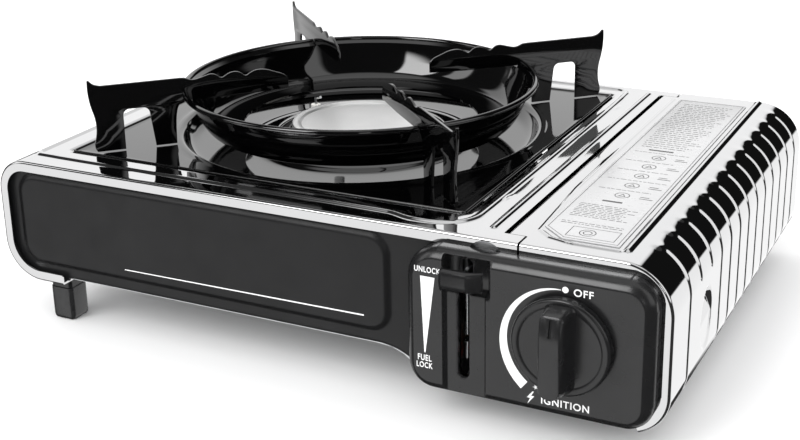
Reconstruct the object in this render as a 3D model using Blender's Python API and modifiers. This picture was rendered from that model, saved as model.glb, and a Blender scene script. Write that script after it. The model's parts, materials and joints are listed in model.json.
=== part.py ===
"""Portable single-burner cassette camping stove with a lift-off wind-shield bowl, a hinged fluted
cartridge lid, a turning gas knob and a fuel-lock lever.

X runs left to right along the front, Y runs from the front to the back and Z runs up from the
ground.  Sizes below are in millimetres and are scaled to metres by MM.
"""

import math

import bmesh
import bpy
import numpy as np
from mathutils import Matrix, Vector

MM = 0.001

# Body
HALF_WIDTH = 170.0
FRONT = -107.0
BACK = 133.0
TOP = 83.5
SHEET = 1.0
LIP = 5.0
LEFT_FLOOR = 21.5
TOP_LEFT_RADIUS = 16.0
BOTTOM_LEFT_RADIUS = 20.0
CASE_BOTTOM_END = -136.0

# Lid over the cartridge
SEAM = 94.6
LID_START = 95.9
LID_TOP_RADIUS = 22.0
LID_BOTTOM_RADIUS = 19.0
LID_BOTTOM_Z = 27.5
NOTCH_X = 104.25
NOTCH_DEPTH = 9.3
FLUTES = 13
FLUTE_FIRST = 24.4
FLUTE_PITCH = 16.7
FLUTE_DEPTH = 1.2
FLUTE_HALF = 2.5
HINGE = (98.5, 80.0)
PIN_RADIUS = 1.6

# Burner side
BURNER = (-32.8, 15.7)
TRAY_X = (-142.2, 70.7)
TRAY_Y = (-83.5, 114.7)
TRAY_TOP = 83.1
TRAY_CORNER = 2.0
WELL_RADIUS = 94.4
BURNER_HOLE = 38.0
BOWL_RIM = 91.8
BOWL_RIM_Z = 107.6
FIN = 1.3
ARM_TURNS = (45.0, 135.0, 225.0, 315.7)

# Controls
KNOB = (128.0, 47.6)
KNOB_RADIUS = 21.2
PANEL_X = (57.0, 165.0)
PANEL_Z = (13.5, 78.5)
PANEL_FACE = FRONT - 9.0
SLOT_X = (80.5, 85.7)
PIVOT = (-21.0, 49.5)
LEVER_REACH = 100.0
LEVER_SWING = 11.5
CRANK = 22.3
GAP = 0.3

LOOKS = {
    "mirror": ((0.86, 0.87, 0.88), 0.07, 1.0),
    "enamel": ((0.012, 0.012, 0.013), 0.12, 0.0),
    "black_paint": ((0.035, 0.035, 0.037), 0.42, 0.0),
    "black_plastic": ((0.045, 0.045, 0.047), 0.45, 0.0),
    "rubber": ((0.02, 0.02, 0.02), 0.8, 0.0),
    "zinc": ((0.62, 0.63, 0.64), 0.4, 1.0),
    "aluminium": ((0.82, 0.82, 0.83), 0.3, 1.0),
    "steel": ((0.6, 0.61, 0.62), 0.35, 1.0),
    "brass": ((0.72, 0.52, 0.2), 0.3, 1.0),
    "copper": ((0.75, 0.42, 0.25), 0.3, 1.0),
    "ceramic": ((0.85, 0.84, 0.8), 0.35, 0.0),
    "white_plastic": ((0.8, 0.8, 0.78), 0.5, 0.0),
    "wire_skin": ((0.5, 0.05, 0.04), 0.6, 0.0),
    "label": ((0.75, 0.76, 0.77), 0.35, 0.0),
}


def start_clean():
    """Empties the scene and makes the two collections."""
    for obj in list(bpy.data.objects):
        bpy.data.objects.remove(obj)
    made = []
    for name in ("camping_stove", "cutters"):
        collection = bpy.data.collections.new(name)
        bpy.context.scene.collection.children.link(collection)
        made.append(collection)
    made[1].hide_render = True
    return made


STOVE, CUTTERS = start_clean()


def place(obj, look):
    """Links an object as a piece with its own material, or as a tool when it has no look."""
    if look is None:
        CUTTERS.objects.link(obj)
        obj.hide_render = True
        obj.display_type = "WIRE"
        return obj
    STOVE.objects.link(obj)
    colour, roughness, metallic = LOOKS[look]
    material = bpy.data.materials.new(obj.name)
    material.use_nodes = True
    shader = material.node_tree.nodes["Principled BSDF"]
    shader.inputs["Base Color"].default_value = (*colour, 1.0)
    shader.inputs["Roughness"].default_value = roughness
    shader.inputs["Metallic"].default_value = metallic
    obj.data.materials.append(material)
    return obj


def from_bmesh(name, bm, look):
    """Makes a piece or a tool from a bmesh that is already in metres."""
    bmesh.ops.recalc_face_normals(bm, faces=bm.faces[:])
    mesh = bpy.data.meshes.new(name)
    bm.to_mesh(mesh)
    bm.free()
    return place(bpy.data.objects.new(name, mesh), look)


def smooth(obj, degrees=35.0):
    """Shades round faces smooth and leaves the corners sharp."""
    obj.data.shade_smooth()
    obj.data.set_sharp_from_angle(angle=math.radians(degrees))
    return obj


def evaluated(obj):
    """The mesh of an object with its modifiers or its curve applied, in world space."""
    bpy.context.view_layer.update()
    graph = bpy.context.evaluated_depsgraph_get()
    mesh = bpy.data.meshes.new_from_object(obj.evaluated_get(graph))
    mesh.transform(obj.matrix_world)
    return mesh


def baked(name, source, look):
    """Replaces a temporary object by its welded mesh."""
    bm = bmesh.new()
    bm.from_mesh(evaluated(source))
    bmesh.ops.remove_doubles(bm, verts=bm.verts[:], dist=0.00001)
    bpy.data.objects.remove(source)
    return from_bmesh(name, bm, look)


def box(name, low, high, look=None, bevel=0.0):
    """A block between two corners."""
    bm = bmesh.new()
    low, high = Vector(low) * MM, Vector(high) * MM
    at = Matrix.Translation((low + high) / 2) @ Matrix.Diagonal((*(high - low), 1.0))
    bmesh.ops.create_cube(bm, size=1.0, matrix=at)
    obj = from_bmesh(name, bm, look)
    if bevel:
        add_bevel(obj, bevel)
    return obj


def add_bevel(obj, width, segments=1):
    """Rounds the edges of a piece."""
    bevel = obj.modifiers.new("edges", "BEVEL")
    bevel.width = width * MM
    bevel.segments = segments
    bevel.limit_method = "ANGLE"


def rod(name, start, end, radius, look=None, sides=20):
    """A straight round bar between two points."""
    bm = bmesh.new()
    start, end = Vector(start) * MM, Vector(end) * MM
    turn = (end - start).to_track_quat("Z", "Y").to_matrix().to_4x4()
    bmesh.ops.create_cone(
        bm, cap_ends=True, segments=sides, radius1=radius * MM, radius2=radius * MM,
        depth=(end - start).length, matrix=Matrix.Translation((start + end) / 2) @ turn,
    )
    return smooth(from_bmesh(name, bm, look))


def rods(name, ends, radius, look, sides=16):
    """Like round pieces, numbered from 1."""
    for number, (start, end) in enumerate(ends, 1):
        rod("%s_%d" % (name, number), start, end, radius, look, sides)


def turned(name, profile, centre, look=None, steps=48, axis="Z"):
    """A turned shape.  The profile holds (radius, height) pairs and centre holds the axis position."""
    closed = profile[0][0] > 0.0
    mesh = bpy.data.meshes.new(name)
    edges = [(i, i + 1) for i in range(len(profile) - 1)]
    if closed:
        edges.append((len(profile) - 1, 0))
    mesh.from_pydata([(r * MM, 0.0, z * MM) for r, z in profile], edges, [])
    obj = bpy.data.objects.new(name + "_turning", mesh)
    STOVE.objects.link(obj)
    screw = obj.modifiers.new("turn", "SCREW")
    screw.steps = steps
    screw.render_steps = steps
    screw.use_merge_vertices = True
    screw.merge_threshold = 0.00005
    turns = {
        "Z": Matrix.Identity(4),
        "Y": Matrix.Rotation(math.radians(-90), 4, "X"),
        "X": Matrix.Rotation(math.radians(90), 4, "Y"),
    }
    obj.matrix_world = Matrix.Translation(Vector(centre) * MM) @ turns[axis]
    return smooth(baked(name, obj, look))


def flat(name, outlines, plane, near, far, look=None):
    """A flat plate.  The first outline is its edge and the others are holes."""
    curve = bpy.data.curves.new(name, "CURVE")
    curve.dimensions = "2D"
    curve.fill_mode = "BOTH"
    curve.extrude = abs(far - near) / 2 * MM
    for outline in outlines:
        spline = curve.splines.new("POLY")
        spline.points.add(len(outline) - 1)
        for point, (a, b) in zip(spline.points, outline):
            point.co = (a * MM, b * MM, 0.0, 1.0)
        spline.use_cyclic_u = True
    obj = bpy.data.objects.new(name + "_flat", curve)
    STOVE.objects.link(obj)
    middle = (near + far) / 2 * MM
    planes = {
        "XY": Matrix(((1, 0, 0, 0), (0, 1, 0, 0), (0, 0, 1, middle), (0, 0, 0, 1))),
        "XZ": Matrix(((1, 0, 0, 0), (0, 0, -1, middle), (0, 1, 0, 0), (0, 0, 0, 1))),
        "YZ": Matrix(((0, 0, 1, middle), (1, 0, 0, 0), (0, 1, 0, 0), (0, 0, 0, 1))),
    }
    obj.matrix_world = planes[plane]
    return baked(name, obj, look)


def tube(name, points, radius, look=None, sides=2, cyclic=False):
    """A bent round tube or wire."""
    curve = bpy.data.curves.new(name, "CURVE")
    curve.dimensions = "3D"
    curve.bevel_depth = radius * MM
    curve.bevel_resolution = sides
    curve.use_fill_caps = not cyclic
    spline = curve.splines.new("POLY")
    spline.points.add(len(points) - 1)
    for point, at in zip(spline.points, points):
        point.co = (*(c * MM for c in at), 1.0)
    spline.use_cyclic_u = cyclic
    obj = bpy.data.objects.new(name + "_path", curve)
    STOVE.objects.link(obj)
    return smooth(baked(name, obj, look), 60.0)


def arc(centre, radius, start, end, steps):
    """Points on an arc, in degrees."""
    angles = np.radians(np.linspace(start, end, steps + 1))
    return [(centre[0] + radius * math.cos(a), centre[1] + radius * math.sin(a)) for a in angles]


def rounded(x, y, radius, steps=5):
    """A rectangle with round corners, given as its two spans."""
    (x0, x1), (y0, y1) = x, y
    corners = [(x1 - radius, y1 - radius, 0), (x0 + radius, y1 - radius, 90)]
    corners += [(x0 + radius, y0 + radius, 180), (x1 - radius, y0 + radius, 270)]
    return [p for cx, cy, a in corners for p in arc((cx, cy), radius, a, a + 90, steps)]


def inset(points, distance, closed=False):
    """Moves an outline or a profile sideways, to the right of the way it runs."""
    moved = []
    count = len(points)
    for i, (x, y) in enumerate(points):
        before = points[i - 1] if closed or i else None
        after = points[(i + 1) % count] if closed or i < count - 1 else None
        runs = [(x - before[0], y - before[1])] if before else []
        runs += [(after[0] - x, after[1] - y)] if after else []
        normals = [Vector((dy, -dx)).normalized() for dx, dy in runs]
        middle = sum(normals, Vector((0.0, 0.0))).normalized()
        reach = distance / max(0.3, middle.dot(normals[0]))
        moved.append((x + middle.x * reach, y + middle.y * reach))
    return moved


def stacked(name, outline, levels, plane, look=None):
    """A block whose outline shrinks from level to level.  Levels hold (inset, offset) pairs."""
    bm = bmesh.new()
    rings = []
    for shrink, offset in levels:
        ring = []
        for a, b in inset(outline, -shrink, closed=True):
            at = {"XY": (a, b, offset), "XZ": (a, offset, b), "YZ": (offset, a, b)}[plane]
            ring.append(bm.verts.new(Vector(at) * MM))
        rings.append(ring)
    count = len(outline)
    for lower, upper in zip(rings, rings[1:]):
        for i in range(count):
            j = (i + 1) % count
            bm.faces.new((lower[i], lower[j], upper[j], upper[i]))
    bm.faces.new(rings[0][::-1])
    bm.faces.new(rings[-1])
    return smooth(from_bmesh(name, bm, look), 30.0)


def wrapped(name, profile, stations, look, groove=None):
    """A bent sheet.  Its profile is drawn once per station (depth, inset) and then given thickness."""
    bm = bmesh.new()
    rows = []
    for depth, shrink in stations:
        row = []
        for i, (x, z) in enumerate(inset(profile, shrink)):
            if groove:
                x, z = groove(i, depth, x, z)
            row.append(bm.verts.new((x * MM, depth * MM, z * MM)))
        rows.append(row)
    for first, second in zip(rows, rows[1:]):
        for i in range(len(profile) - 1):
            bm.faces.new((first[i], first[i + 1], second[i + 1], second[i]))
    mesh = bpy.data.meshes.new(name)
    bm.to_mesh(mesh)
    bm.free()
    obj = bpy.data.objects.new(name + "_sheet", mesh)
    STOVE.objects.link(obj)
    solid = obj.modifiers.new("thickness", "SOLIDIFY")
    solid.thickness = SHEET * MM
    solid.offset = -1.0
    solid.use_even_offset = True
    return smooth(baked(name, obj, look))


def boolean(obj, kind, tools):
    """Adds one exact Boolean per tool."""
    for tool in tools:
        modifier = obj.modifiers.new(tool.name, "BOOLEAN")
        modifier.operation = kind
        modifier.solver = "EXACT"
        modifier.object = tool
    return obj


def cut(obj, *tools):
    return boolean(obj, "DIFFERENCE", tools)


def join(obj, *tools):
    return boolean(obj, "UNION", tools)


def lips(front, back):
    """Stations of a sheet whose front and back edges turn in."""
    first = [(front, LIP), (front, 1.3), (front + 0.4, 0.4), (front + 1.3, 0.0)]
    return first, [(back + front - y, shrink) for y, shrink in reversed(first)]


def case_profile():
    """Left side and top, from the bottom-left end up and over to the right."""
    low = (-HALF_WIDTH + BOTTOM_LEFT_RADIUS, LEFT_FLOOR + BOTTOM_LEFT_RADIUS)
    high = (-HALF_WIDTH + TOP_LEFT_RADIUS, TOP - TOP_LEFT_RADIUS)
    points = [(CASE_BOTTOM_END, LEFT_FLOOR)]
    points += arc(low, BOTTOM_LEFT_RADIUS, 270, 180, 6)
    points += arc(high, TOP_LEFT_RADIUS, 180, 90, 6)
    return points + [(NOTCH_X - 0.25, TOP)]


def lid_profile():
    """Rolled seam edge, top, right side and the curled bottom edge."""
    top = (HALF_WIDTH - LID_TOP_RADIUS, TOP - LID_TOP_RADIUS)
    low = (HALF_WIDTH - LID_BOTTOM_RADIUS, LID_BOTTOM_Z)
    points = [(LID_START, TOP - 1.6), (LID_START + 0.5, TOP - 0.5), (LID_START + 1.6, TOP)]
    points += arc(top, LID_TOP_RADIUS, 90, 0, 8)
    points += arc(low, LID_BOTTOM_RADIUS, 0, -70, 6)
    return points


def make_case():
    """Mirror steel skin with the tray recess, the pressed beads and the notch in its front lip."""
    front, back = lips(FRONT, BACK)
    case = wrapped("top_case", case_profile(), front + back, "mirror")
    hole = (TRAY_X[0] - 0.6, TRAY_X[1] + 0.6), (TRAY_Y[0] - 0.6, TRAY_Y[1] + 0.6)
    edge = rounded(*hole, TRAY_CORNER + 0.6)
    cut(case, stacked("tray_opening", edge, [(0, TOP - 5), (0, TOP + 5)], "XY"))
    recess_wall = flat(
        "recess_wall", [inset(edge, 0.9, True), inset(edge, 0.02, True)], "XY", 80.9, 83.1
    )
    ledge = flat("recess_ledge", [inset(edge, 0.5, True), inset(edge, -2.0, True)], "XY", 80.6, 81.6)
    join(case, recess_wall, ledge)
    bead_z = TOP - 0.6
    around = [(-152, -95), (38, -95), (44, -96), (50, -98.5), (58, -99), (66, -98), (73, -94.5)]
    around += [(77.3, -88), (78, -80), (78, 118), (75, 124), (69, 126.5), (-146, 126.5)]
    around += [(-153, 124), (-156, 118), (-156, -89), (-155, -93)]
    join(case, tube("bead_around", [(x, y, bead_z) for x, y in around], 1.5, cyclic=True, sides=1))
    seam_bead = tube("seam_bead", [(88.5, -94, bead_z), (88.5, 124, bead_z)], 1.5, sides=1)
    join(case, seam_bead)
    seam = box("seam_opening", (SEAM, FRONT + NOTCH_DEPTH - 0.3, 70), (110, BACK - NOTCH_DEPTH + 0.3, 90))
    notch = rod("lip_notch", (90.0, FRONT - 1, TOP - 9.1), (90.0, FRONT + 1.6, TOP - 9.1), 8.6, sides=32)
    cut(case, seam, notch)


def lid_groove(profile):
    """Moves the corner and the side of the lid inwards along each flute."""
    inner = inset(profile, FLUTE_DEPTH)
    first, last = 5, len(profile) - 5
    crests = [FRONT + FLUTE_FIRST + FLUTE_PITCH * k for k in range(FLUTES)]

    def shape(i, depth, x, z):
        k = min(range(FLUTES), key=lambda n: abs(crests[n] - depth))
        stop = 10 if k in (1, 2) else last
        if abs(depth - crests[k]) > 0.01 or not first <= i <= stop:
            return x, z
        return inner[i]

    return crests, shape


def make_lid():
    """Hinged mirror steel lid with its flutes, finger dimple, ridges and hinge ears."""
    profile = lid_profile()
    crests, groove = lid_groove(profile)
    front, back = lips(FRONT, BACK)
    flutes = [(c + d, 0.0) for c in crests for d in (-FLUTE_HALF, 0.0, FLUTE_HALF)]
    lid = wrapped("cartridge_lid", profile, front + flutes + back, "mirror", groove)
    dimple_at = ((FRONT + 52.0), TOP - 42.5)
    oval = [(dimple_at[0] + 10 * math.cos(a), dimple_at[1] + 15.5 * math.sin(a))
            for a in np.linspace(0, 2 * math.pi, 24, endpoint=False)]
    join(lid, flat("dimple_boss", [oval], "YZ", 166.7, 169.6))
    bm = bmesh.new()
    shape = Matrix.Diagonal((2.2, 9.0, 14.5, 1.0))
    at = Matrix.Translation(Vector((170.0, *dimple_at)) * MM)
    bmesh.ops.create_uvsphere(bm, u_segments=24, v_segments=12, radius=MM, matrix=at @ shape)
    cut(lid, from_bmesh("dimple", bm, None))
    left = [(104.0, FRONT + 226), (104.0, FRONT + 21), (117.0, FRONT + 9)]
    join(
        lid,
        tube("label_ridge", [(x, y, TOP - 0.5) for x, y in left + [(144, FRONT + 9)]], 1.3, sides=1),
        tube("side_ridge", [(147, FRONT + 11, TOP - 0.6), (147, FRONT + 237, TOP - 0.6)], 1.7, sides=1),
    )
    for end, near in (("front", FRONT + NOTCH_DEPTH + 1.3), ("back", BACK - NOTCH_DEPTH - 2.5)):
        outline = [(97.7, 83.1), (95.2, 79.8), (96.4, 76.9), (98.5, 76.2), (100.8, 76.9), (102.3, 79.0)]
        hole = arc(HINGE, PIN_RADIUS + GAP, 0, 337.5, 15)
        join(lid, flat("ear_" + end, [outline + [(102.6, 83.1)], hole], "XZ", near, near + 1.2))
    for end, outer, inner, swing in (
        ("front", FRONT - 1, FRONT + NOTCH_DEPTH, FRONT + NOTCH_DEPTH - 0.2),
        ("back", BACK + 1, BACK - NOTCH_DEPTH, BACK - NOTCH_DEPTH + 0.2),
    ):
        near, far = sorted((outer, inner))
        cut(lid, box("lid_notch_" + end, (90, near, 70), (NOTCH_X + 0.35, far, 90)))
        cut(lid, rod("lid_swing_" + end, (HINGE[0], outer, HINGE[1]), (HINGE[0], swing, HINGE[1]), 7.3, sides=31))
    label = [(107.5, FRONT + 226), (107.5, FRONT + 22.5), (118.5, FRONT + 12.5), (143, FRONT + 12.5)]
    flat("lid_label", [label + [(143, FRONT + 226)]], "XY", TOP + GAP, TOP + GAP + 0.25, "label")


def panel_outline(right_inset):
    """Outline of the front and the back panel inside the lips."""
    left = inset(case_profile()[:-1], SHEET + 0.4)
    right = inset(lid_profile()[3:], right_inset)
    bottom = [(148.0, 13.0), (66.0, 13.0), (60.0, 15.0), (53.0, 20.5), (46.0, 23.5), (39.0, 24.5)]
    return left[1:] + right[:-2] + bottom + [(-134.6, 21.6), (-135.6, 22.9)]


def make_front_panel():
    """Painted front sheet with its raised field and the openings behind the control panel."""
    slot = rounded((77.0, 91.0), (18.0, 77.0), 3.0, 3)
    spindle = arc(KNOB, 5.0, 0, 345, 23)
    y = FRONT + 3.0
    panel = flat("front_panel", [panel_outline(2.4), slot, spindle], "XZ", y, y + 1.0, "black_paint")
    field = rounded((-160.5, 45.0), (29.5, 77.5), 11.0, 6)
    levels = [(0.0, y + 0.5), (0.0, y - 0.4), (0.8, y - 1.3), (2.2, y - 1.7)]
    join(panel, stacked("raised_field", field, levels, "XZ"))


def make_rear_panel():
    """Painted back sheet with air slots."""
    slots = [rounded((x, x + 4.0), (38.0, 66.0), 2.0, 3) for x in range(-120, 40, 18)]
    flat("rear_panel", [panel_outline(2.4)] + slots, "XZ", BACK - 4.0, BACK - 3.0, "black_paint")


def make_floor():
    """Floor sheet, higher on the left and curled up on the right, with its inner wall."""
    profile = [(-134.0, 24.6), (36.0, 24.6), (44.0, 24.0), (50.0, 21.6), (57.0, 16.6), (62.0, 14.3)]
    profile += [(68.0, 13.5)] + arc((151.0, 28.0), 14.5, -90, -10, 6)
    section = profile + inset(profile, 1.0)[::-1]
    flat("base_pan", [section], "XZ", FRONT + 4.4, BACK - 4.4, "steel")
    wall = [(FRONT + 4.6, 14.8), (BACK - 4.6, 14.8), (BACK - 4.6, 80.2), (FRONT + 4.6, 80.2)]
    pipes = rounded((-95.0, -81.0), (17.5, 31.5), 6.0, 4)
    strip = rounded((3.0, 31.0), (38.0, 46.0), 2.0, 2)
    flat("partition_wall", [wall, pipes, strip], "YZ", 76.0, 77.0, "steel")


def make_tray():
    """Enamel drip tray: a plate with a rim and a stepped round well down to the burner."""
    edge = rounded(TRAY_X, TRAY_Y, TRAY_CORNER)
    well = arc(BURNER, WELL_RADIUS - 0.6, 0, 353.571, 55)
    tray = flat("spill_tray", [edge, well], "XY", TRAY_TOP - 0.9, TRAY_TOP, "enamel")
    rim = flat("tray_rim", [edge, inset(edge, -1.2, True)], "XY", TRAY_TOP - 0.5, TRAY_TOP + 0.8)
    top = TRAY_TOP
    outer = [(WELL_RADIUS, top), (92.5, top - 0.5), (90.5, top - 3.5), (88.0, top - 6.0), (84.0, top - 7.0)]
    outer += [(60.0, top - 7.6), (57.0, top - 5.6), (46.0, top - 5.2), (43.5, top - 3.2), (BURNER_HOLE, top - 3.0)]
    thick = outer + inset(outer, -0.9)[::-1]
    bowl = turned("tray_well", thick[::-1], (*BURNER, 0.0), steps=56)
    join(tray, rim, bowl)
    angle = math.radians(150)
    x, y = BURNER[0] + 47.5 * math.cos(angle), BURNER[1] + 47.5 * math.sin(angle)
    cut(tray, rod("electrode_opening", (x, y, 70), (x, y, 82), 4.0))
    return x, y


def make_bowl():
    """Wind-shield bowl with a rolled rim, an open bottom and slots for the support arms."""
    base = TOP
    wall = [(61.0, base + 1.2), (74.5, base + 1.2), (77.8, base + 2.0), (80.2, base + 4.2), (82.8, base + 8.0)]
    wall += [(85.2, base + 13.5), (87.0, base + 18.0), (87.8, base + 20.5)]
    inner = inset(wall, -1.0)
    roll = arc((BOWL_RIM - 1.45, BOWL_RIM_Z - 1.45), 1.45, 190, -100, 6)
    profile = inner + roll + wall[::-1]
    bowl = turned("trivet_bowl", profile, (*BURNER, 0.0), "enamel", steps=56)
    for k in range(4):
        slot = box("arm_slot_%d" % k, (80.0, -FIN / 2 - GAP, 105.1), (96.0, FIN / 2 + GAP, 120.0))
        slot.matrix_world = arm_matrix(k)
        cut(bowl, slot)


def arm_matrix(k):
    """Places something drawn along +X from the burner's axis on support arm k."""
    turn = Matrix.Rotation(math.radians(ARM_TURNS[k]), 4, "Z")
    return Matrix.Translation(Vector((*BURNER, 0.0)) * MM) @ turn


def make_arms():
    """Four sheet support arms with scalloped tops, outward horns and two legs."""
    top = [(38.0, 28.0), (40.0, 30.2), (45.0, 32.0), (49.0, 33.5), (54.0, 33.8), (57.5, 32.6), (60.0, 31.0)]
    top += [(62.5, 33.3), (65.5, 33.9), (69.0, 33.0), (72.0, 31.2), (75.0, 33.4), (77.5, 33.8), (80.5, 33.0)]
    top += [(87.0, 31.4), (91.0, 33.4), (132.3, 33.5), (135.3, 34.6), (137.1, 36.6), (138.0, 36.4)]
    side = [(138.2, 31.0), (137.4, 24.0), (135.4, 17.0), (135.2, 10.0), (137.1, 3.0), (135.4, 0.2)]
    window = [(121.8, 0.2), (121.8, 18.0), (119.3, 20.5), (111.3, 20.5), (108.8, 18.0), (106.8, 0.2)]
    inner = [(96.4, 0.2), (95.8, 14.0), (94.6, 19.0), (92.6, 21.8), (60.0, 21.8), (38.0, 22.7)]
    outline = [(r, TOP + z) for r, z in top + side + window + inner]
    names = ("pan_support_back_right", "pan_support_back_left", "pan_support_front_left", "pan_support_front_right")
    for k, name in enumerate(names):
        arm = flat(name, [outline], "XZ", -FIN / 2, FIN / 2, "enamel")
        arm.data.transform(arm_matrix(k))


def make_burner(electrode):
    """Burner head, its mixing tube and jet, and the spark electrode."""
    neck = [(0.0, 79.4), (29.0, 79.4), (32.5, 79.4), (32.5, 74.5), (27.0, 68.0), (17.0, 65.0), (16.0, 63.0)]
    turned("burner_base", neck + [(16.0, 49.0), (0.0, 49.0)], (*BURNER, 0.0), "aluminium")
    cap = [(0.0, 84.4), (29.0, 84.5), (31.0, 84.0), (32.1, 85.1), (35.1, 85.3), (36.0, 84.4), (36.0, 80.6)]
    turned("burner_cap", cap + [(32.5, 79.7), (0.0, 79.7)], (*BURNER, 0.0), "steel")
    along = Vector((64.0, -73.0)).normalized()

    def at(distance, z=56.0):
        return (BURNER[0] + along.x * distance, BURNER[1] + along.y * distance, z)

    mixing = rod("mixing_tube", at(16.6), at(84), 7.0, "steel", sides=24)
    join(mixing, rod("mixing_mouth", at(74), at(85), 9.5, sides=24))
    cut(mixing, rod("mixing_bore", at(20), at(90), 5.8, sides=24))
    nozzle = rod("injector_nozzle", at(86), at(97), 3.6, "brass", sides=12)
    join(nozzle, rod("nozzle_tip", at(80), at(88), 1.8, sides=12))
    screws = [((BURNER[0] + dx, BURNER[1], 46.2), (BURNER[0] + dx, BURNER[1], 48.7)) for dx in (-9, 9)]
    rods("burner_screw", screws, 3.0, "steel", 12)
    x, y = electrode
    box("electrode_bracket", (x - 7, y - 5, 60), (x + 7, y + 5, 61.2), "steel")
    rod("electrode_ceramic", (x, y, 61.5), (x, y, 82.0), 2.6, "ceramic", sides=16)
    inward = Vector((BURNER[0] - x, BURNER[1] - y)).normalized() * 5.5
    tube("electrode_pin", [(x, y, 82.3), (x, y, 85.5), (x + inward.x, y + inward.y, 87.2)], 0.8, "steel", 1)
    wire = [(x, y, 59.7), (x, y, 50), (x + 4, y - 6, 42), (x + 20, y - 40, 30), (20, -70, 29)]
    wire += [(48, -82, 28), (62, -88, 24), (74, -89, 21.5), (92, -90, 21.5), (100, -96, 24), (102, -97.5, 34), (102, -97.5, 40.7)]
    tube("ignition_wire", wire, 1.0, "wire_skin", 1)
    pipe = [(109.3, -83.5, 38.5), (104.0, -83.5, 33.0), (98.0, -85.0, 27.0), (90.0, -85.0, 26.0)]
    pipe += [(62.0, -85.0, 27.0), (50.0, -80.0, 36.0), (42.0, -70.0, 50.0), at(103), at(97.3)]
    tube("gas_tube", pipe, 2.0, "copper", 2)
    strip = [(-10.0, 46.0), (30.0, 46.0), (40.0, 42.0), (90.0, 42.0), (93.0, 40.0), (93.5, 30.0)]
    section = strip + inset(strip, 1.4)[::-1]
    flat("heat_plate", [section], "XZ", 7.0, 27.0, "aluminium")


def make_regulator():
    """Gas regulator, cartridge collar, spindle with its cam, and the igniter."""
    x, z = KNOB
    body = turned(
        "regulator_body",
        [(0.0, -70.0), (17.0, -70.0), (17.0, -76.0), (14.0, -77.5), (14.0, -90.0), (8.0, -91.5), (0.0, -91.5)],
        (x, 0.0, z + 0.4), "zinc", 32, "Y",
    )
    join(body, box("regulator_block", (111.4, -89, 34), (145, -78, 62)))
    turned("regulator_cap", [(0.0, 152.0), (10.0, 152.0), (13.5, 149.0), (13.5, 145.3), (0.0, 145.3)],
           (0.0, -83.5, z + 0.4), "zinc", 32, "X")
    ring = [(8.0, -69.7), (8.0, -66.0), (17.0, -66.0), (17.0, -69.7)]
    turned("cartridge_collar", ring, (x, 0.0, z + 0.4), "steel", 32, "Y")
    seal = [(3.0, -69.7), (3.0, -67.2), (7.5, -67.2), (7.5, -69.7)]
    turned("collar_seal", seal, (x, 0.0, z + 0.4), "rubber", 24, "Y")
    rod("valve_spindle", (x, -121.5, z), (x, -91.9, z), 3.0, "brass")
    lobe = arc((x, z), 9.2, 20, 50, 3)
    outline = lobe + arc((x, z), 7.0, 65, 365, 18)
    bore = arc((x, z), 3.0 + GAP, 0, 337.5, 15)
    flat("igniter_cam", [outline, bore], "XZ", -100.5, -94.5, "white_plastic")
    igniter = box("piezo_igniter", (95, -102.4, 41), (111, -92.4, 52), "white_plastic", 0.8)
    cut(igniter, rod("igniter_bore", (100.3, -97.4, z), (114, -97.4, z), 2.5 + GAP))
    rod("igniter_plunger", (105.0, -97.4, z), (118.0, -97.4, z), 2.5, "white_plastic")


def make_controls():
    """Raised control panel, knob, lever tab and the fuel-lock linkage."""
    back, face = FRONT - 0.5, PANEL_FACE
    outline = arc((PANEL_X[1] - 12, PANEL_Z[1] - 12), 12, 0, 90, 5)
    outline += arc((PANEL_X[0] + 14, PANEL_Z[1] - 14), 14, 90, 180, 5)
    outline += arc((PANEL_X[0] + 12, PANEL_Z[0] + 12), 12, 180, 270, 5)
    outline += arc((PANEL_X[1] - 12, PANEL_Z[0] + 12), 12, 270, 360, 5)
    levels = [(0.0, back), (0.0, face + 4.2), (0.9, face + 1.4), (2.2, face + 0.4), (4.0, face)]
    panel = stacked("control_panel", outline, levels, "XZ", "black_plastic")
    boss = stacked("panel_boss", rounded((100.0, 150.0), (20.0, 74.0), 4.0, 2), [(0, back - 1), (0, FRONT + 2.7)], "XZ")
    join(panel, boss)
    cut(
        panel,
        box("lever_channel", (75.0, face - 2, 10.0), (93.7, face + 2.4, 76.3)),
        box("lever_pocket", (75.4, face - 2, 61.0), (93.4, face + 6.0, 76.0)),
        stacked("lever_slot", rounded(SLOT_X, (21.5, 74.5), 2.4, 3), [(0, face - 5), (0, FRONT + 5)], "XZ"),
        rod("spindle_opening", (KNOB[0], face - 5, KNOB[1]), (KNOB[0], FRONT + 5, KNOB[1]), 4.0),
    )
    disc = [(0.0, -121.0), (19.4, -121.0), (20.6, -120.6), (KNOB_RADIUS, -119.6), (KNOB_RADIUS, -116.4)]
    knob = turned("knob", (disc + [(0.0, -116.4)])[::-1], (KNOB[0], 0.0, KNOB[1]), "black_plastic", 48, "Y")
    x, z = KNOB
    grip = arc((x, z + 12.9), 6.4, 0, 180, 8) + arc((x, z - 14.2), 6.4, 180, 360, 8)
    join(knob, stacked("grip", grip, [(-0.4, -119.0), (0.0, -122.5), (0.9, -131.6), (1.9, -133.0)], "XZ"))
    cut(
        knob,
        rod("knob_bore", (x, -122.0, z), (x, -110.0, z), 3.0 + GAP),
        box("pointer_groove", (x - 0.6, -134.0, z + 5.5), (x + 0.6, -132.2, z + 15.0)),
    )
    make_lever()


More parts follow.
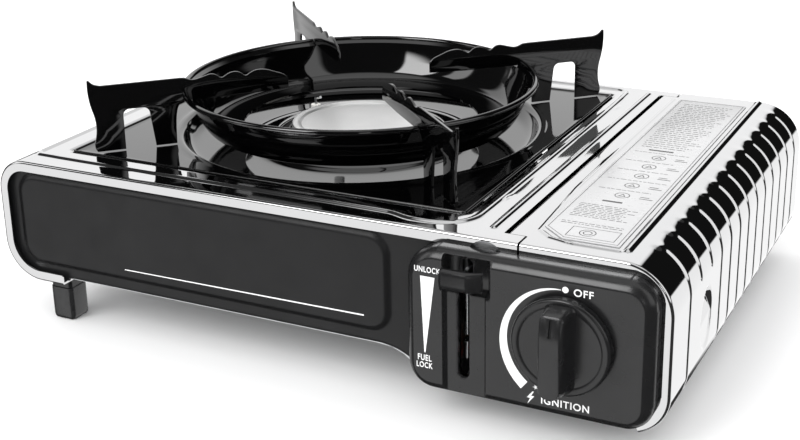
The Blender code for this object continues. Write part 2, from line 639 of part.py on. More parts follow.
def make_lever():
    """Fuel-lock lever at its top position, its pin and bracket, and the slide it drives."""
    swing = math.radians(LEVER_SWING)
    y, z = PIVOT
    tip = (y - LEVER_REACH * math.cos(swing), z + LEVER_REACH * math.sin(swing))
    side = (84.5 - 1.0) / 2 + 41.75
    tab_outline = rounded((tip[0] - 2.7, tip[0] + 2.7), (tip[1] - 6.0, tip[1] + 3.2), 1.2, 2)
    tab = stacked("lever_tab", tab_outline, [(0.8, 75.8), (0.0, 76.8), (0.0, 90.6), (1.6, 93.0)], "YZ", "black_plastic")
    along = Vector((-math.cos(swing), math.sin(swing)))
    across = Vector((along.y, -along.x))
    across = across if across.y > 0 else -across
    pivot = Vector(PIVOT)
    crank_at = pivot + Vector((math.sin(swing), math.cos(swing))) * CRANK

    def on_arm(reach, width):
        return tuple(pivot + along * reach + across * width)

    x0, x1 = side - 0.8, side + 0.8
    round_end = [on_arm(6.0 * math.cos(a), 6.0 * math.sin(a)) for a in np.radians((-60, -100, -140, 180, 150))]
    crank = [tuple(crank_at + Vector((dy, dz))) for dy, dz in ((3.6, -2.0), (3.2, 2.4), (0.0, 3.8), (-3.2, 2.4))]
    outline = [on_arm(98.2, -3.4)] + [on_arm(12.0, -4.2)] + round_end + crank
    outline += [on_arm(10.0, 7.0), on_arm(18.0, 4.2), on_arm(90.0, 3.0), on_arm(98.2, 0.8)]
    hole = [tuple(pivot + Vector((math.cos(a), math.sin(a))) * (2.0 + GAP))
            for a in np.linspace(0, 2 * math.pi, 16, endpoint=False)]
    arm = flat("lever_arm", [outline, hole], "YZ", x0, x1, "steel")
    join(arm, rod("crank_pin", (x1 - 0.8, *crank_at), (90.6, *crank_at), 1.5, sides=16))
    cut(tab, box("arm_pocket", (x0 - GAP, tip[0] - 1.2, tip[1] - 4.9), (x1 + GAP, tip[0] + 4.0, tip[1] + 2.2)))
    rod("lever_pivot_pin", (77.6, *PIVOT), (86.4, *PIVOT), 2.0, "steel", sides=16)
    bracket = box("lever_bracket", (77.3, y - 9, z - 9), (80.6, y + 9, z + 9), "steel", 0.6)
    cut(bracket, rod("bracket_bore", (77.4, *PIVOT), (88.0, *PIVOT), 2.0 + GAP))
    bar_x = (88.4, 89.8)
    low = crank_at.y - 5.0
    bar = [(PIVOT[0] - 10, low), (126.5, low), (126.5, low - 34), (123.0, low - 34), (123.0, low - 10)]
    bar += [(PIVOT[0] + 20, low - 10), (PIVOT[0] + 14, low - 4), (PIVOT[0] - 10, low - 4)]
    bar = bar[2:] + [(PIVOT[0] - 10, crank_at.y + 5.0), (PIVOT[0] + 16, crank_at.y + 5.0), (PIVOT[0] + 20, low), (126.5, low)]
    slot = rounded((crank_at.x - 1.8, crank_at.x + 1.8), (crank_at.y - 2.4, crank_at.y + 3.2), 1.6, 3)
    carriage = flat("cartridge_carriage", [bar, slot], "YZ", *bar_x, "steel")
    push = [(89.0, low - 34), (89.0, low), (120.0, low - 2), (140.0, low - 8), (140.0, low - 30), (120.0, low - 36)]
    join(carriage, flat("push_plate", [push], "XZ", 125.0, 126.4))


def make_feet():
    """Four plastic feet with recessed screws, and the screws of the case and the panels."""
    feet = {
        "foot_front_left": ((-149.0, -136.0), (FRONT + 5, FRONT + 18), 21.2),
        "foot_rear_left": ((-149.0, -136.0), (BACK - 18, BACK - 5), 21.2),
        "foot_front_right": ((128.0, 142.0), (FRONT + 45, FRONT + 58), 12.2),
        "foot_rear_right": ((128.0, 142.0), (BACK - 58, BACK - 45), 12.2),
    }
    screws = []
    for name, (x, y, height) in feet.items():
        levels = [(1.4, 0.0), (0.5, 1.2), (0.0, 3.0), (0.0, height)]
        foot = stacked(name, rounded(x, y, 2.6, 3), levels, "XY", "black_plastic")
        cx, cy = sum(x) / 2, sum(y) / 2
        cut(foot, rod(name + "_recess", (cx, cy, -1), (cx, cy, 4.0), 3.4, sides=16))
        screws.append(((cx, cy, 1.8), (cx, cy, 3.7)))
    rods("foot_screw", screws, 2.8, "steel")
    edge = [((-141.0, y, 19.4), (-141.0, y, 21.2)) for y in (FRONT + 60, BACK - 60)]
    rods("case_screw", edge, 2.8, "steel")
    spots = [(-155.0, 70.0), (-140.0, 35.0), (60.0, 72.0), (152.0, 35.0)]
    heads = [((x, BACK - 2.7, z), (x, BACK - 1.2, z)) for x, z in spots]
    rods("panel_screw", heads, 2.6, "steel")


def make_small_parts():
    """Hinge pins, lid bumpers and the ribs that carry the cartridge."""
    x, z = HINGE
    pins = [((x, FRONT + 4.3, z), (x, FRONT + 15.5, z)), ((x, BACK - 4.3, z), (x, BACK - 15.5, z))]
    rods("lid_hinge_pin", pins, PIN_RADIUS, "steel")
    for end, y in (("front", FRONT + 30), ("back", BACK - 38)):
        box("lid_bumper_" + end, (158.4, y, 26.5), (163.6, y + 8.0, 31.0), "rubber", 0.6)
    cradle = box("cartridge_cradle", (112.0, -40.0, 13.9), (148.0, 103.0, 14.7), "steel")
    for y in (-39.0, 30.0, 99.0):
        join(cradle, box("cradle_rib_%d" % y, (106.0, y, 13.9), (154.0, y + 3.0, 17.6)))
    cut(cradle, rod("cradle_hollow", (130.0, -60.0, 48.8), (130.0, 120.0, 48.8), 33.8, sides=64))


def hang(name, at, pieces):
    """Parents the pieces of one moving body, and their tools, to an empty on its joint's axis."""
    empty = bpy.data.objects.new(name, None)
    STOVE.objects.link(empty)
    empty.location = Vector(at) * MM
    for piece in pieces:
        piece = bpy.data.objects[piece]
        tools = [m.object for m in piece.modifiers if m.type == "BOOLEAN"]
        for obj in [piece] + tools:
            obj.parent = empty
            obj.matrix_parent_inverse = Matrix.Translation(-empty.location)


def hang_moving_bodies():
    """One empty for each body that moves."""
    hang("lid_axis", (HINGE[0], 0.0, HINGE[1]), ["cartridge_lid", "lid_label"])
    hang("knob_axis", (KNOB[0], -120.0, KNOB[1]), ["knob", "valve_spindle", "igniter_cam"])
    hang("lever_axis", (83.3, *PIVOT), ["lever_tab", "lever_arm"])
    hang("carriage_axis", (89.0, *PIVOT), ["cartridge_carriage"])
    hang("plunger_axis", (111.0, -97.4, KNOB[1]), ["igniter_plunger"])
    arms = [obj.name for obj in STOVE.objects if obj.name.startswith("pan_support")]
    hang("trivet_axis", (*BURNER, TOP), ["trivet_bowl"] + arms)


def main():
    make_case()
    make_lid()
    make_front_panel()
    make_rear_panel()
    make_floor()
    electrode = make_tray()
    make_bowl()
    make_arms()
    make_burner(electrode)
    make_regulator()
    make_controls()
    make_feet()
    make_small_parts()
    hang_moving_bodies()


main()
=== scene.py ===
"""Looks of the camping stove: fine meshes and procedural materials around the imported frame.

Sizes inside the shape functions are millimetres and are scaled by MM.
"""

import json
import math
import random
from contextlib import contextmanager

import bmesh
import bpy
import numpy as np
from mathutils import Matrix, Vector


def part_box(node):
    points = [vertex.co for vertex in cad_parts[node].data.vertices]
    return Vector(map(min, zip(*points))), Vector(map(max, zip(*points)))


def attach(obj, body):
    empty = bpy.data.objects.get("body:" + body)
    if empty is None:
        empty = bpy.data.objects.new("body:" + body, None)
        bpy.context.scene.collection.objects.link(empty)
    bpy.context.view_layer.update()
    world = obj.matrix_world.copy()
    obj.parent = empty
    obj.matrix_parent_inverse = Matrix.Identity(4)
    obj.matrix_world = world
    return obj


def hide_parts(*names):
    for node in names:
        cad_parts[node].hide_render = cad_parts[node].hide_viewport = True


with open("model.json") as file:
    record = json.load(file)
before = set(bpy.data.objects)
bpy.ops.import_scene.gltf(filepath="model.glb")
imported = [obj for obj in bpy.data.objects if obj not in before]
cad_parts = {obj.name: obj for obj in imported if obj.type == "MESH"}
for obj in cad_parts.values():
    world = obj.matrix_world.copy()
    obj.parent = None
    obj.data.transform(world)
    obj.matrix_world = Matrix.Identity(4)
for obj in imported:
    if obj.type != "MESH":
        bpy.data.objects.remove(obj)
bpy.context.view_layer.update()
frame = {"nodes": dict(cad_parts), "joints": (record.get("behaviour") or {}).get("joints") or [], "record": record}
MM = 0.001


def corners(node):
    """Lowest and highest corner of a CAD node in millimetres."""
    low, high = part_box(node)
    return tuple(low / MM), tuple(high / MM)


JOINTS = {joint["name"]: joint for joint in frame["joints"]}
case_low, case_high = corners("top_case")
lid_low, lid_high = corners("cartridge_lid")
tray_low, tray_high = corners("spill_tray")
bowl_low, bowl_high = corners("trivet_bowl")
panel_low, panel_high = corners("control_panel")
sheet_high = corners("front_panel")[1]
knob_low, knob_high = corners("knob")

LEFT, FRONT, BACK = case_low[0], case_low[1], case_high[1]
RIGHT = lid_high[0]
LABEL_LIFT = 0.3  # height of the label's underside over the lid
TOP = corners("lid_label")[0][2] - LABEL_LIFT
SHEET = 1.0  # thickness of the visible sheet
LIP = 5.0  # depth of the turned-in front and back lips
CORNER = 1.3  # radius of the bend into a lip
BEND = math.pi / 2 * CORNER  # length of that bend
CASE_CORNER = 16.0  # radius of the case's top left edge
CASE_BOTTOM = 20.0  # radius of the case's bottom left edge
LID_CORNER = 22.0  # radius of the lid's top right edge
LID_CURL = 19.0  # radius of the curl at the lid's lower edge
CURL_Z = 27.5  # height at which the curl starts
SEAM = 94.6  # edge of the case beside the lid
LID_START = lid_low[0] + 0.7  # edge of the lid beside the seam
NOTCH_X = case_high[0]  # right end of the case's front and back strips
NOTCH_DEPTH = 9.3  # depth of those strips
ARM_TURNS = (45.0, 135.0, 225.0, 315.7)  # directions of the support arms
FLUTES = 13
FLUTE_PITCH = 16.7
BURNER = ((bowl_low[0] + bowl_high[0]) / 2, (bowl_low[1] + bowl_high[1]) / 2)
TRAY_X = (tray_low[0], tray_high[0])
TRAY_Y = (tray_low[1], tray_high[1])
TRAY_RIM = 0.8  # height of the tray's raised rim
TRAY_CORNER = 2.0  # radius of the tray's corners
TRAY_TOP = tray_high[2] - TRAY_RIM
KNOB = tuple(c / MM for c in JOINTS["knob_turn"]["pos_m"])
FACE = panel_low[1]  # front of the control panel


# ---- materials


def node_tree(name):
    material = bpy.data.materials.new(name)
    material.use_nodes = True
    return material, material.node_tree, material.node_tree.nodes["Principled BSDF"]


def feed(tree, node, inputs):
    """Links sockets to a node's inputs and writes plain values into them."""
    for name, value in inputs.items():
        if isinstance(value, bpy.types.NodeSocket):
            tree.links.new(value, node.inputs[name])
        else:
            node.inputs[name].default_value = value


def add_node(tree, kind, inputs=None, **settings):
    node = tree.nodes.new("ShaderNode" + kind)
    for name, value in settings.items():
        setattr(node, name, value)
    feed(tree, node, inputs or {})
    return node


def noise(tree, scale, detail=3.0, stretch=(1.0, 1.0, 1.0)):
    """Noise in object space, where scale counts features per metre."""
    coords = add_node(tree, "TexCoord")
    place = {"Vector": coords.outputs["Object"], "Scale": [scale * s for s in stretch]}
    place = add_node(tree, "Mapping", place).outputs["Vector"]
    settings = {"Vector": place, "Scale": 1.0, "Detail": detail}
    return add_node(tree, "TexNoise", settings).outputs["Fac"]


def ranged(tree, value, low, high, start=0.3, end=0.7):
    """Maps a value between two limits."""
    limits = {"From Min": start, "From Max": end, "To Min": low, "To Max": high}
    return add_node(tree, "MapRange", {"Value": value, **limits}).outputs["Result"]


def mixed(tree, factor, first, second):
    """Blends two colours, with the colour sockets 6 and 7 of the mix node and its output 2."""
    ends = [(*colour, 1.0) if isinstance(colour, tuple) else colour for colour in (first, second)]
    node = add_node(tree, "Mix", {0: factor, 6: ends[0], 7: ends[1]}, data_type="RGBA")
    return node.outputs[2]


def bumped(tree, shader, layers):
    """Chains bump layers of (value, strength, distance in millimetres)."""
    before = {}
    for value, strength, distance in layers:
        settings = {"Strength": strength, "Distance": distance * MM, "Height": value, **before}
        before = {"Normal": add_node(tree, "Bump", settings).outputs["Normal"]}
    feed(tree, shader, before)


def finish(name, colour, rough, metallic=0.0, specular=0.5, vary=0.12, blotch=35.0, bumps=(),
           wear=None):
    """Name and material with cloudy colour and roughness, fine bumps and, if asked, worn edges.

    rough is (lowest, highest), and a bump is (features per metre, strength, distance) with,
    if wanted, a stretch."""
    material, tree, shader = node_tree(name)
    feed(tree, shader, {"Metallic": metallic, "Specular IOR Level": specular})
    tone = ranged(tree, noise(tree, blotch, 5.0), 0.0, 1.0)
    dark = tuple(c * (1.0 - vary) for c in colour)
    base = mixed(tree, tone, dark, colour)
    if wear:
        edge = add_node(tree, "NewGeometry")
        rubbed = ranged(tree, edge.outputs["Pointiness"], 0.0, 1.0, 0.53, 0.6)
        speckle = ranged(tree, noise(tree, 400.0), 0.0, 1.0)
        scuff = add_node(tree, "Math", {0: rubbed, 1: speckle}, operation="MULTIPLY")
        base = mixed(tree, scuff.outputs[0], base, wear)
    roughness = ranged(tree, noise(tree, blotch * 2.3, 6.0), *rough)
    feed(tree, shader, {"Base Color": base, "Roughness": roughness})
    bumped(tree, shader, [(noise(tree, s, 4.0, *stretch), a, d) for s, a, d, *stretch in bumps])
    return name, material


FINISHES = dict((
    finish("mirror_steel", (0.65, 0.65, 0.655), (0.02, 0.06), 1.0, vary=0.03, blotch=18.0,
           bumps=[(30.0, 0.25, 0.05), (2200.0, 0.03, 0.01, (0.05, 1.0, 1.0))]),
    finish("enamel", (0.0015, 0.0015, 0.0017), (0.025, 0.06), specular=0.85, vary=0.3,
           bumps=[(60.0, 0.05, 0.01), (900.0, 0.05, 0.004)]),
    finish("black_paint", (0.010, 0.010, 0.0105), (0.3, 0.4), specular=0.26, vary=0.10,
           bumps=[(1800.0, 0.10, 0.03), (60.0, 0.08, 0.05)]),
    finish("black_plastic", (0.011, 0.011, 0.0115), (0.2, 0.3), specular=0.5, vary=0.12,
           bumps=[(2600.0, 0.16, 0.03), (240.0, 0.06, 0.03)], wear=(0.05, 0.05, 0.052)),
    finish("rubber", (0.02, 0.02, 0.02), (0.7, 0.88), vary=0.25, bumps=[(1500.0, 0.3, 0.05)]),
    finish("zinc", (0.6, 0.61, 0.62), (0.32, 0.5), 1.0, vary=0.2, blotch=90.0,
           bumps=[(1100.0, 0.25, 0.05)]),
    finish("aluminium", (0.86, 0.86, 0.87), (0.2, 0.36), 1.0, vary=0.08, blotch=60.0,
           bumps=[(1500.0, 0.14, 0.03)]),
    finish("steel", (0.66, 0.67, 0.68), (0.22, 0.4), 1.0, vary=0.12, blotch=50.0,
           bumps=[(1600.0, 0.12, 0.03, (1.0, 0.06, 1.0))]),
    finish("brass", (0.74, 0.54, 0.22), (0.2, 0.34), 1.0, vary=0.15, bumps=[(1200.0, 0.12, 0.03)]),
    finish("copper", (0.78, 0.44, 0.28), (0.22, 0.38), 1.0, vary=0.25, blotch=70.0,
           bumps=[(900.0, 0.1, 0.03)]),
    finish("ceramic", (0.85, 0.84, 0.8), (0.25, 0.4), vary=0.06, bumps=[(700.0, 0.1, 0.03)]),
    finish("white_plastic", (0.8, 0.8, 0.78), (0.4, 0.55), vary=0.05, bumps=[(1500.0, 0.12, 0.03)]),
    finish("wire_skin", (0.5, 0.05, 0.04), (0.5, 0.65), vary=0.2, bumps=[(1500.0, 0.15, 0.03)]),
    finish("label", (0.52, 0.52, 0.525), (0.22, 0.32), 0.0, vary=0.03, blotch=22.0,
           bumps=[(28.0, 0.2, 0.04), (2400.0, 0.05, 0.01)]),
    finish("white_print", (0.86, 0.86, 0.86), (0.45, 0.6), vary=0.05, blotch=300.0,
           bumps=[(2500.0, 0.12, 0.02)]),
    finish("grey_print", (0.10, 0.10, 0.10), (0.5, 0.65), vary=0.3, blotch=500.0,
           bumps=[(2500.0, 0.12, 0.02)]),
))


def brushed_disc():
    """Steel with fine rings around the burner's axis."""
    material, tree, shader = node_tree("brushed_disc")
    coords = add_node(tree, "TexCoord")
    centre = (-BURNER[0] * MM, -BURNER[1] * MM, 0.0)
    shift = {"Vector": coords.outputs["Object"], "Location": centre}
    shift = add_node(tree, "Mapping", shift).outputs["Vector"]
    look = {"Vector": shift, "Scale": 420.0, "Distortion": 1.5, "Detail": 3.0}
    rings = add_node(tree, "TexWave", look, wave_type="RINGS", rings_direction="Z")
    tone = ranged(tree, rings.outputs["Fac"], 0.0, 1.0, 0.0, 1.0)
    colour = mixed(tree, tone, (0.74, 0.74, 0.74), (0.88, 0.88, 0.875))
    roughness = ranged(tree, noise(tree, 70.0, 5.0), 0.34, 0.5)
    feed(tree, shader, {"Metallic": 1.0, "Base Color": colour, "Roughness": roughness})
    bumped(tree, shader, [(rings.outputs["Fac"], 0.10, 0.03), (noise(tree, 1500.0), 0.1, 0.02)])
    return material


FINISHES["brushed_disc"] = brushed_disc()


# ---- mesh tools


@contextmanager
def opened(mesh):
    """Opens a mesh for a change and writes the change back."""
    bm = bmesh.new()
    bm.from_mesh(mesh)
    yield bm
    bm.to_mesh(mesh)
    bm.free()


def linked(name, data):
    """A new object in the scene."""
    obj = bpy.data.objects.new(name, data)
    bpy.context.scene.collection.objects.link(obj)
    return obj


def baked(obj, *helpers):
    """The final mesh of an object, which is then removed with its helpers."""
    bpy.context.view_layer.update()
    depsgraph = bpy.context.evaluated_depsgraph_get()
    mesh = bpy.data.meshes.new_from_object(obj.evaluated_get(depsgraph))
    for used in (obj, *helpers):
        bpy.data.objects.remove(used)
    return mesh


def piece(name, mesh, look, body, node=None, angle=38.0):
    """Links a mesh as a piece on a body with its finish; it may stand for a CAD node."""
    mesh.name = name
    obj = linked(name, mesh)
    with opened(mesh) as bm:
        bmesh.ops.remove_doubles(bm, verts=bm.verts[:], dist=0.0005 * MM)
        bmesh.ops.dissolve_degenerate(bm, edges=bm.edges[:], dist=0.0001 * MM)
        bmesh.ops.recalc_face_normals(bm, faces=bm.faces[:])
    mesh.shade_smooth()
    mesh.set_sharp_from_angle(angle=math.radians(angle))
    mesh.materials.clear()
    mesh.materials.append(FINISHES[look])
    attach(obj, body)
    if node:
        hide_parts(node)


def raw_mesh(points, faces):
    mesh = bpy.data.meshes.new("shape")
    mesh.from_pydata((np.asarray(points, float) * MM).tolist(), [], faces)
    return mesh


def shell(outer, inner, keep=None, wrap=False):
    """A closed sheet between two grids of points.  keep says which cells hold material."""
    nu, nv = outer.shape[:2]
    cells = nu if wrap else nu - 1
    if keep is None:
        keep = np.ones((cells, nv - 1), bool)
    index = np.arange(nu * nv).reshape(nu, nv)
    over = nu * nv
    faces = []
    for i, j in np.argwhere(keep):
        k = (i + 1) % nu
        a, b, c, d = index[i, j], index[k, j], index[k, j + 1], index[i, j + 1]
        faces.append((a, b, c, d))
        faces.append((d + over, c + over, b + over, a + over))
        before = keep[i - 1, j] if (wrap or i) else False
        after = keep[k if wrap else i + 1, j] if (wrap or i < cells - 1) else False
        below = keep[i, j - 1] if j else False
        above = keep[i, j + 1] if j < nv - 2 else False
        sides = ((before, (d, a)), (after, (b, c)), (below, (a, b)), (above, (c, d)))
        for joined, (p, q) in sides:
            if not joined:
                faces.append((q, p, p + over, q + over))
    used = np.unique([v for f in faces for v in f])
    lookup = np.full(2 * over, -1)
    lookup[used] = np.arange(len(used))
    points = np.concatenate([outer.reshape(-1, 3), inner.reshape(-1, 3)])[used]
    return raw_mesh(points, [tuple(int(lookup[v]) for v in f) for f in faces])


def trimmed(u, v, outside):
    """Grid coordinates whose border cells are moved on to the line where outside is zero."""
    grid_u, grid_v = np.meshgrid(np.asarray(u, float), np.asarray(v, float), indexing="ij")
    middle_u = (grid_u[:-1, :-1] + grid_u[1:, 1:]) / 2
    middle_v = (grid_v[:-1, :-1] + grid_v[1:, 1:]) / 2
    keep = outside(middle_u, middle_v) < 0.0
    inside = np.zeros(grid_u.shape, bool)
    dropped = np.zeros(grid_u.shape, bool)
    for i in (0, 1):
        for j in (0, 1):
            part = (slice(i, grid_u.shape[0] - 1 + i), slice(j, grid_u.shape[1] - 1 + j))
            inside[part] |= keep
            dropped[part] |= ~keep
    border = inside & dropped
    step = 0.001
    for _ in range(4):
        bu, bv = grid_u[border], grid_v[border]
        value = outside(bu, bv)
        du = (outside(bu + step, bv) - outside(bu - step, bv)) / (2 * step)
        dv = (outside(bu, bv + step) - outside(bu, bv - step)) / (2 * step)
        size = np.maximum(du * du + dv * dv, 0.25)
        grid_u[border] = bu - np.clip(value / size, -0.5, 0.5) * du
        grid_v[border] = bv - np.clip(value / size, -0.5, 0.5) * dv
    return grid_u, grid_v, keep


def lines(stops):
    """Grid lines from (start, end, spacing) runs that follow each other."""
    found = []
    for start, end, spacing in stops:
        count = max(1, int(round((end - start) / spacing)))
        found.extend(np.linspace(start, end, count + 1)[:-1])
    return found + [stops[-1][1]]


def arc(centre, radius, start, end, steps):
    angles = np.radians(np.linspace(start, end, steps + 1))
    return [(centre[0] + radius * math.cos(a), centre[1] + radius * math.sin(a)) for a in angles]


def circle(centre, radius, count):
    """A closed outline of count points."""
    return arc(centre, radius, 0, 360 - 360 / count, count - 1)


def rounded(x, y, radius, steps=8):
    (x0, x1), (y0, y1) = x, y
    spots = [(x1 - radius, y1 - radius, 0), (x0 + radius, y1 - radius, 90)]
    spots += [(x0 + radius, y0 + radius, 180), (x1 - radius, y0 + radius, 270)]
    return [p for cx, cy, a in spots for p in arc((cx, cy), radius, a, a + 90, steps)]


def softened(points, rounds=3, closed=False):
    """Cuts the corners of a line again and again, which makes it a smooth curve."""
    points = [np.array(p, float) for p in points]
    for _ in range(rounds):
        pairs = list(zip(points, points[1:] + points[:1] if closed else points[1:]))
        made = [q for a, b in pairs for q in (a * 0.75 + b * 0.25, a * 0.25 + b * 0.75)]
        points = made if closed else [points[0]] + made[1:-1] + [points[-1]]
    return [tuple(p) for p in points]


def inset(points, distance):
    """Moves a closed outline, which runs anticlockwise, inwards."""
    pts = np.array(points, float)
    run = np.roll(pts, -1, 0) - pts
    run /= np.linalg.norm(run, axis=1)[:, None]
    normal = np.stack([-run[:, 1], run[:, 0]], 1)
    both = normal + np.roll(normal, 1, 0)
    both /= np.linalg.norm(both, axis=1)[:, None]
    reach = distance / np.maximum(0.3, (both * normal).sum(1))
    return pts + both * reach[:, None]


PLANES = {
    "XY": lambda a, b, c: (a, b, c),
    "XZ": lambda a, b, c: (a, c, b),
    "YZ": lambda a, b, c: (c, a, b),
}


def prism(outlines, levels, plane):
    """A block from outline to outline.  Each level is (outline number, inset, offset)."""
    rings = []
    for which, shrink, offset in levels:
        ring = inset(outlines[which], shrink)
        rings.append([PLANES[plane](a, b, offset) for a, b in ring])
    count = len(rings[0])
    faces = []
    for level in range(len(rings) - 1):
        steps = (level, level, level + 1, level + 1)
        for i in range(count):
            j = (i + 1) % count
            faces.append([n * count + k for n, k in zip(steps, (i, j, j, i))])
    faces.append(tuple(range(count))[::-1])
    faces.append(tuple(range((len(rings) - 1) * count, len(rings) * count)))
    return raw_mesh([p for ring in rings for p in ring], faces)


def round_edge(radius, near, far, steps=5):
    """Prism levels for a block with round edges at both ends."""
    way = 1.0 if far > near else -1.0
    turn = [math.radians(90 * k / steps) for k in range(steps + 1)]
    first = [(0, radius * (1 - math.sin(t)), near + way * radius * (1 - math.cos(t))) for t in turn]
    last = [(0, radius * (1 - math.cos(t)), far - way * radius * (1 - math.sin(t))) for t in turn]
    return first + last


def plate(outlines, plane, near, far, edge=0.0):
    """A flat plate with holes and a small round edge."""
    curve = bpy.data.curves.new("outline", "CURVE")
    curve.dimensions = "2D"
    curve.fill_mode = "BOTH"
    curve.extrude = (abs(far - near) / 2 - edge) * MM
    curve.bevel_depth = edge * MM
    curve.bevel_resolution = 2
    curve.offset = -edge * MM
    for outline in outlines:
        spline = curve.splines.new("POLY")
        spline.points.add(len(outline) - 1)
        for point, (a, b) in zip(spline.points, outline):
            point.co = (a * MM, b * MM, 0.0, 1.0)
        spline.use_cyclic_u = True
    mesh = baked(linked("outline", curve))
    middle = (near + far) / 2 * MM
    mesh.transform({
        "XY": Matrix(((1, 0, 0, 0), (0, 1, 0, 0), (0, 0, 1, middle), (0, 0, 0, 1))),
        "XZ": Matrix(((1, 0, 0, 0), (0, 0, -1, middle), (0, 1, 0, 0), (0, 0, 0, 1))),
    }[plane])
    with opened(mesh) as bm:
        bmesh.ops.remove_doubles(bm, verts=bm.verts[:], dist=0.002 * MM)
    return mesh


def lathe(profile, centre, steps=160, axis="Z", warp=None):
    """A turned shape from a closed profile of (radius, height); warp may change a radius."""
    count = len(profile)
    points = []
    for k in range(steps):
        angle = 2 * math.pi * k / steps
        for i, (r, h) in enumerate(profile):
            r = warp(angle, r, h) if warp else r
            a, b = r * math.cos(angle), r * math.sin(angle)
            at = {"Z": (a, b, h), "Y": (a, h, b)}[axis]
            points.append([at[n] + centre[n] for n in range(3)])
    faces = []
    for k in range(steps):
        n = (k + 1) % steps
        for i in range(count):
            j = (i + 1) % count
            if profile[i][0] == 0.0 and profile[j][0] == 0.0:
                continue
            faces.append((k * count + i, n * count + i, n * count + j, k * count + j))
    return raw_mesh(points, faces)


def cutter(mesh):
    with opened(mesh) as bm:
        bmesh.ops.recalc_face_normals(bm, faces=bm.faces[:])
    return linked("cutter", mesh)


def carved(mesh, *tools):
    """The mesh with every tool cut away."""
    obj = cutter(mesh)
    tools = [cutter(tool) for tool in tools]
    for tool in tools:
        modifier = obj.modifiers.new("cut", "BOOLEAN")
        modifier.operation = "DIFFERENCE"
        modifier.solver = "EXACT"
        modifier.object = tool
    return baked(obj, *tools)


def block(low, high):
    low, high = Vector(low) * MM, Vector(high) * MM
    at = Matrix.Translation((low + high) / 2) @ Matrix.Diagonal((*(high - low), 1.0))
    mesh = bpy.data.meshes.new("block")
    with opened(mesh) as bm:
        bmesh.ops.create_cube(bm, size=1.0, matrix=at)
    return mesh


def join(meshes):
    """Several closed meshes as one."""
    joined = bpy.data.meshes.new("joined")
    with opened(joined) as bm:
        for mesh in meshes:
            bm.from_mesh(mesh)
    return joined


# ---- pressed sheets


def smoothstep(x, low, high):
    t = np.clip((x - low) / (high - low), 0.0, 1.0)
    return t * t * (3 - 2 * t)


def band(x, start, full, fading, end):
    """1 between full and fading, 0 beyond start and end."""
    return smoothstep(x, start, full) * (1 - smoothstep(x, fading, end))


def line_distance(x, y, points, closed=False):
    """Distance from grid points to a line through points."""
    best = np.full(np.shape(x), 1e9)
    ends = list(points[1:]) + ([points[0]] if closed else [])
    for (ax, ay), (bx, by) in zip(points, ends):
        dx, dy = bx - ax, by - ay
        t = np.clip(((x - ax) * dx + (y - ay) * dy) / max(dx * dx + dy * dy, 1e-9), 0.0, 1.0)
        best = np.minimum(best, np.hypot(x - ax - t * dx, y - ay - t * dy))
    return best


def ridge(distance, half, height):
    """Height of a rounded ridge at a distance from its crest."""
    return height * np.cos(np.pi / 2 * np.clip(distance / half, 0.0, 1.0)) ** 2


def box_distance(x, y, low, high, radius):
    """Signed distance to a rectangle with round corners, negative inside."""
    cx, cy = (low[0] + high[0]) / 2, (low[1] + high[1]) / 2
    qx = np.abs(x - cx) - ((high[0] - low[0]) / 2 - radius)
    qy = np.abs(y - cy) - ((high[1] - low[1]) / 2 - radius)
    beyond = np.hypot(np.maximum(qx, 0), np.maximum(qy, 0))
    return beyond + np.minimum(np.maximum(qx, qy), 0) - radius


def follow(u, parts):
    """Points and outward normals of a section made of lines and arcs.

    A part is (start of u, kind, values); a line holds its start, its direction and its normal,
    and an arc its centre, its radius, its start angle and its turning sense."""
    x, z, nx, nz = (np.zeros(np.shape(u)) for _ in range(4))
    for start, kind, values in parts:
        here = u >= start - 1e-9
        along = u - start
        if kind == "line":
            (px, pz), (dx, dz), (mx, mz) = values
            x, z = np.where(here, px + dx * along, x), np.where(here, pz + dz * along, z)
            nx, nz = np.where(here, mx, nx), np.where(here, mz, nz)
        else:
            (cx, cz), radius, angle, sense = values
            a = math.radians(angle) + sense * along / radius
            x = np.where(here, cx + radius * np.cos(a), x)
            z = np.where(here, cz + radius * np.sin(a), z)
            nx, nz = np.where(here, np.cos(a), nx), np.where(here, np.sin(a), nz)
    return x, z, nx, nz


def bent_sheet(u, v, section, height):
    """Outer and inner points of a sheet that follows a section and turns in at its front and back.

    v equals the depth between the two bends and runs on along the lips."""
    x, z, nx, nz = follow(u, section)
    middle = (FRONT + BACK) / 2
    half = (BACK - FRONT) / 2 - CORNER
    past = np.maximum(np.abs(v - middle) - half, 0.0)
    side = np.sign(v - middle)
    angle = np.minimum(past, BEND) / CORNER
    y = middle + side * (np.minimum(np.abs(v - middle), half) + CORNER * np.sin(angle))
    shrink = CORNER * (1 - np.cos(angle)) + np.maximum(past - BEND, 0.0)
    normal = np.stack([nx * np.cos(angle), side * np.sin(angle), nz * np.cos(angle)], -1)
    base = np.stack([x - nx * shrink, y, z - nz * shrink], -1)
    outer = base + normal * height[..., None]
    return outer, outer - normal * SHEET


def lip_lines():
    """Extra grid lines for the front lip and for the back lip."""
    start = FRONT + CORNER
    front = lines([(start - BEND - (LIP - CORNER), start - BEND, 0.5),
                   (start - BEND, start, BEND / 8)])
    return front, [FRONT + BACK - v for v in reversed(front)]


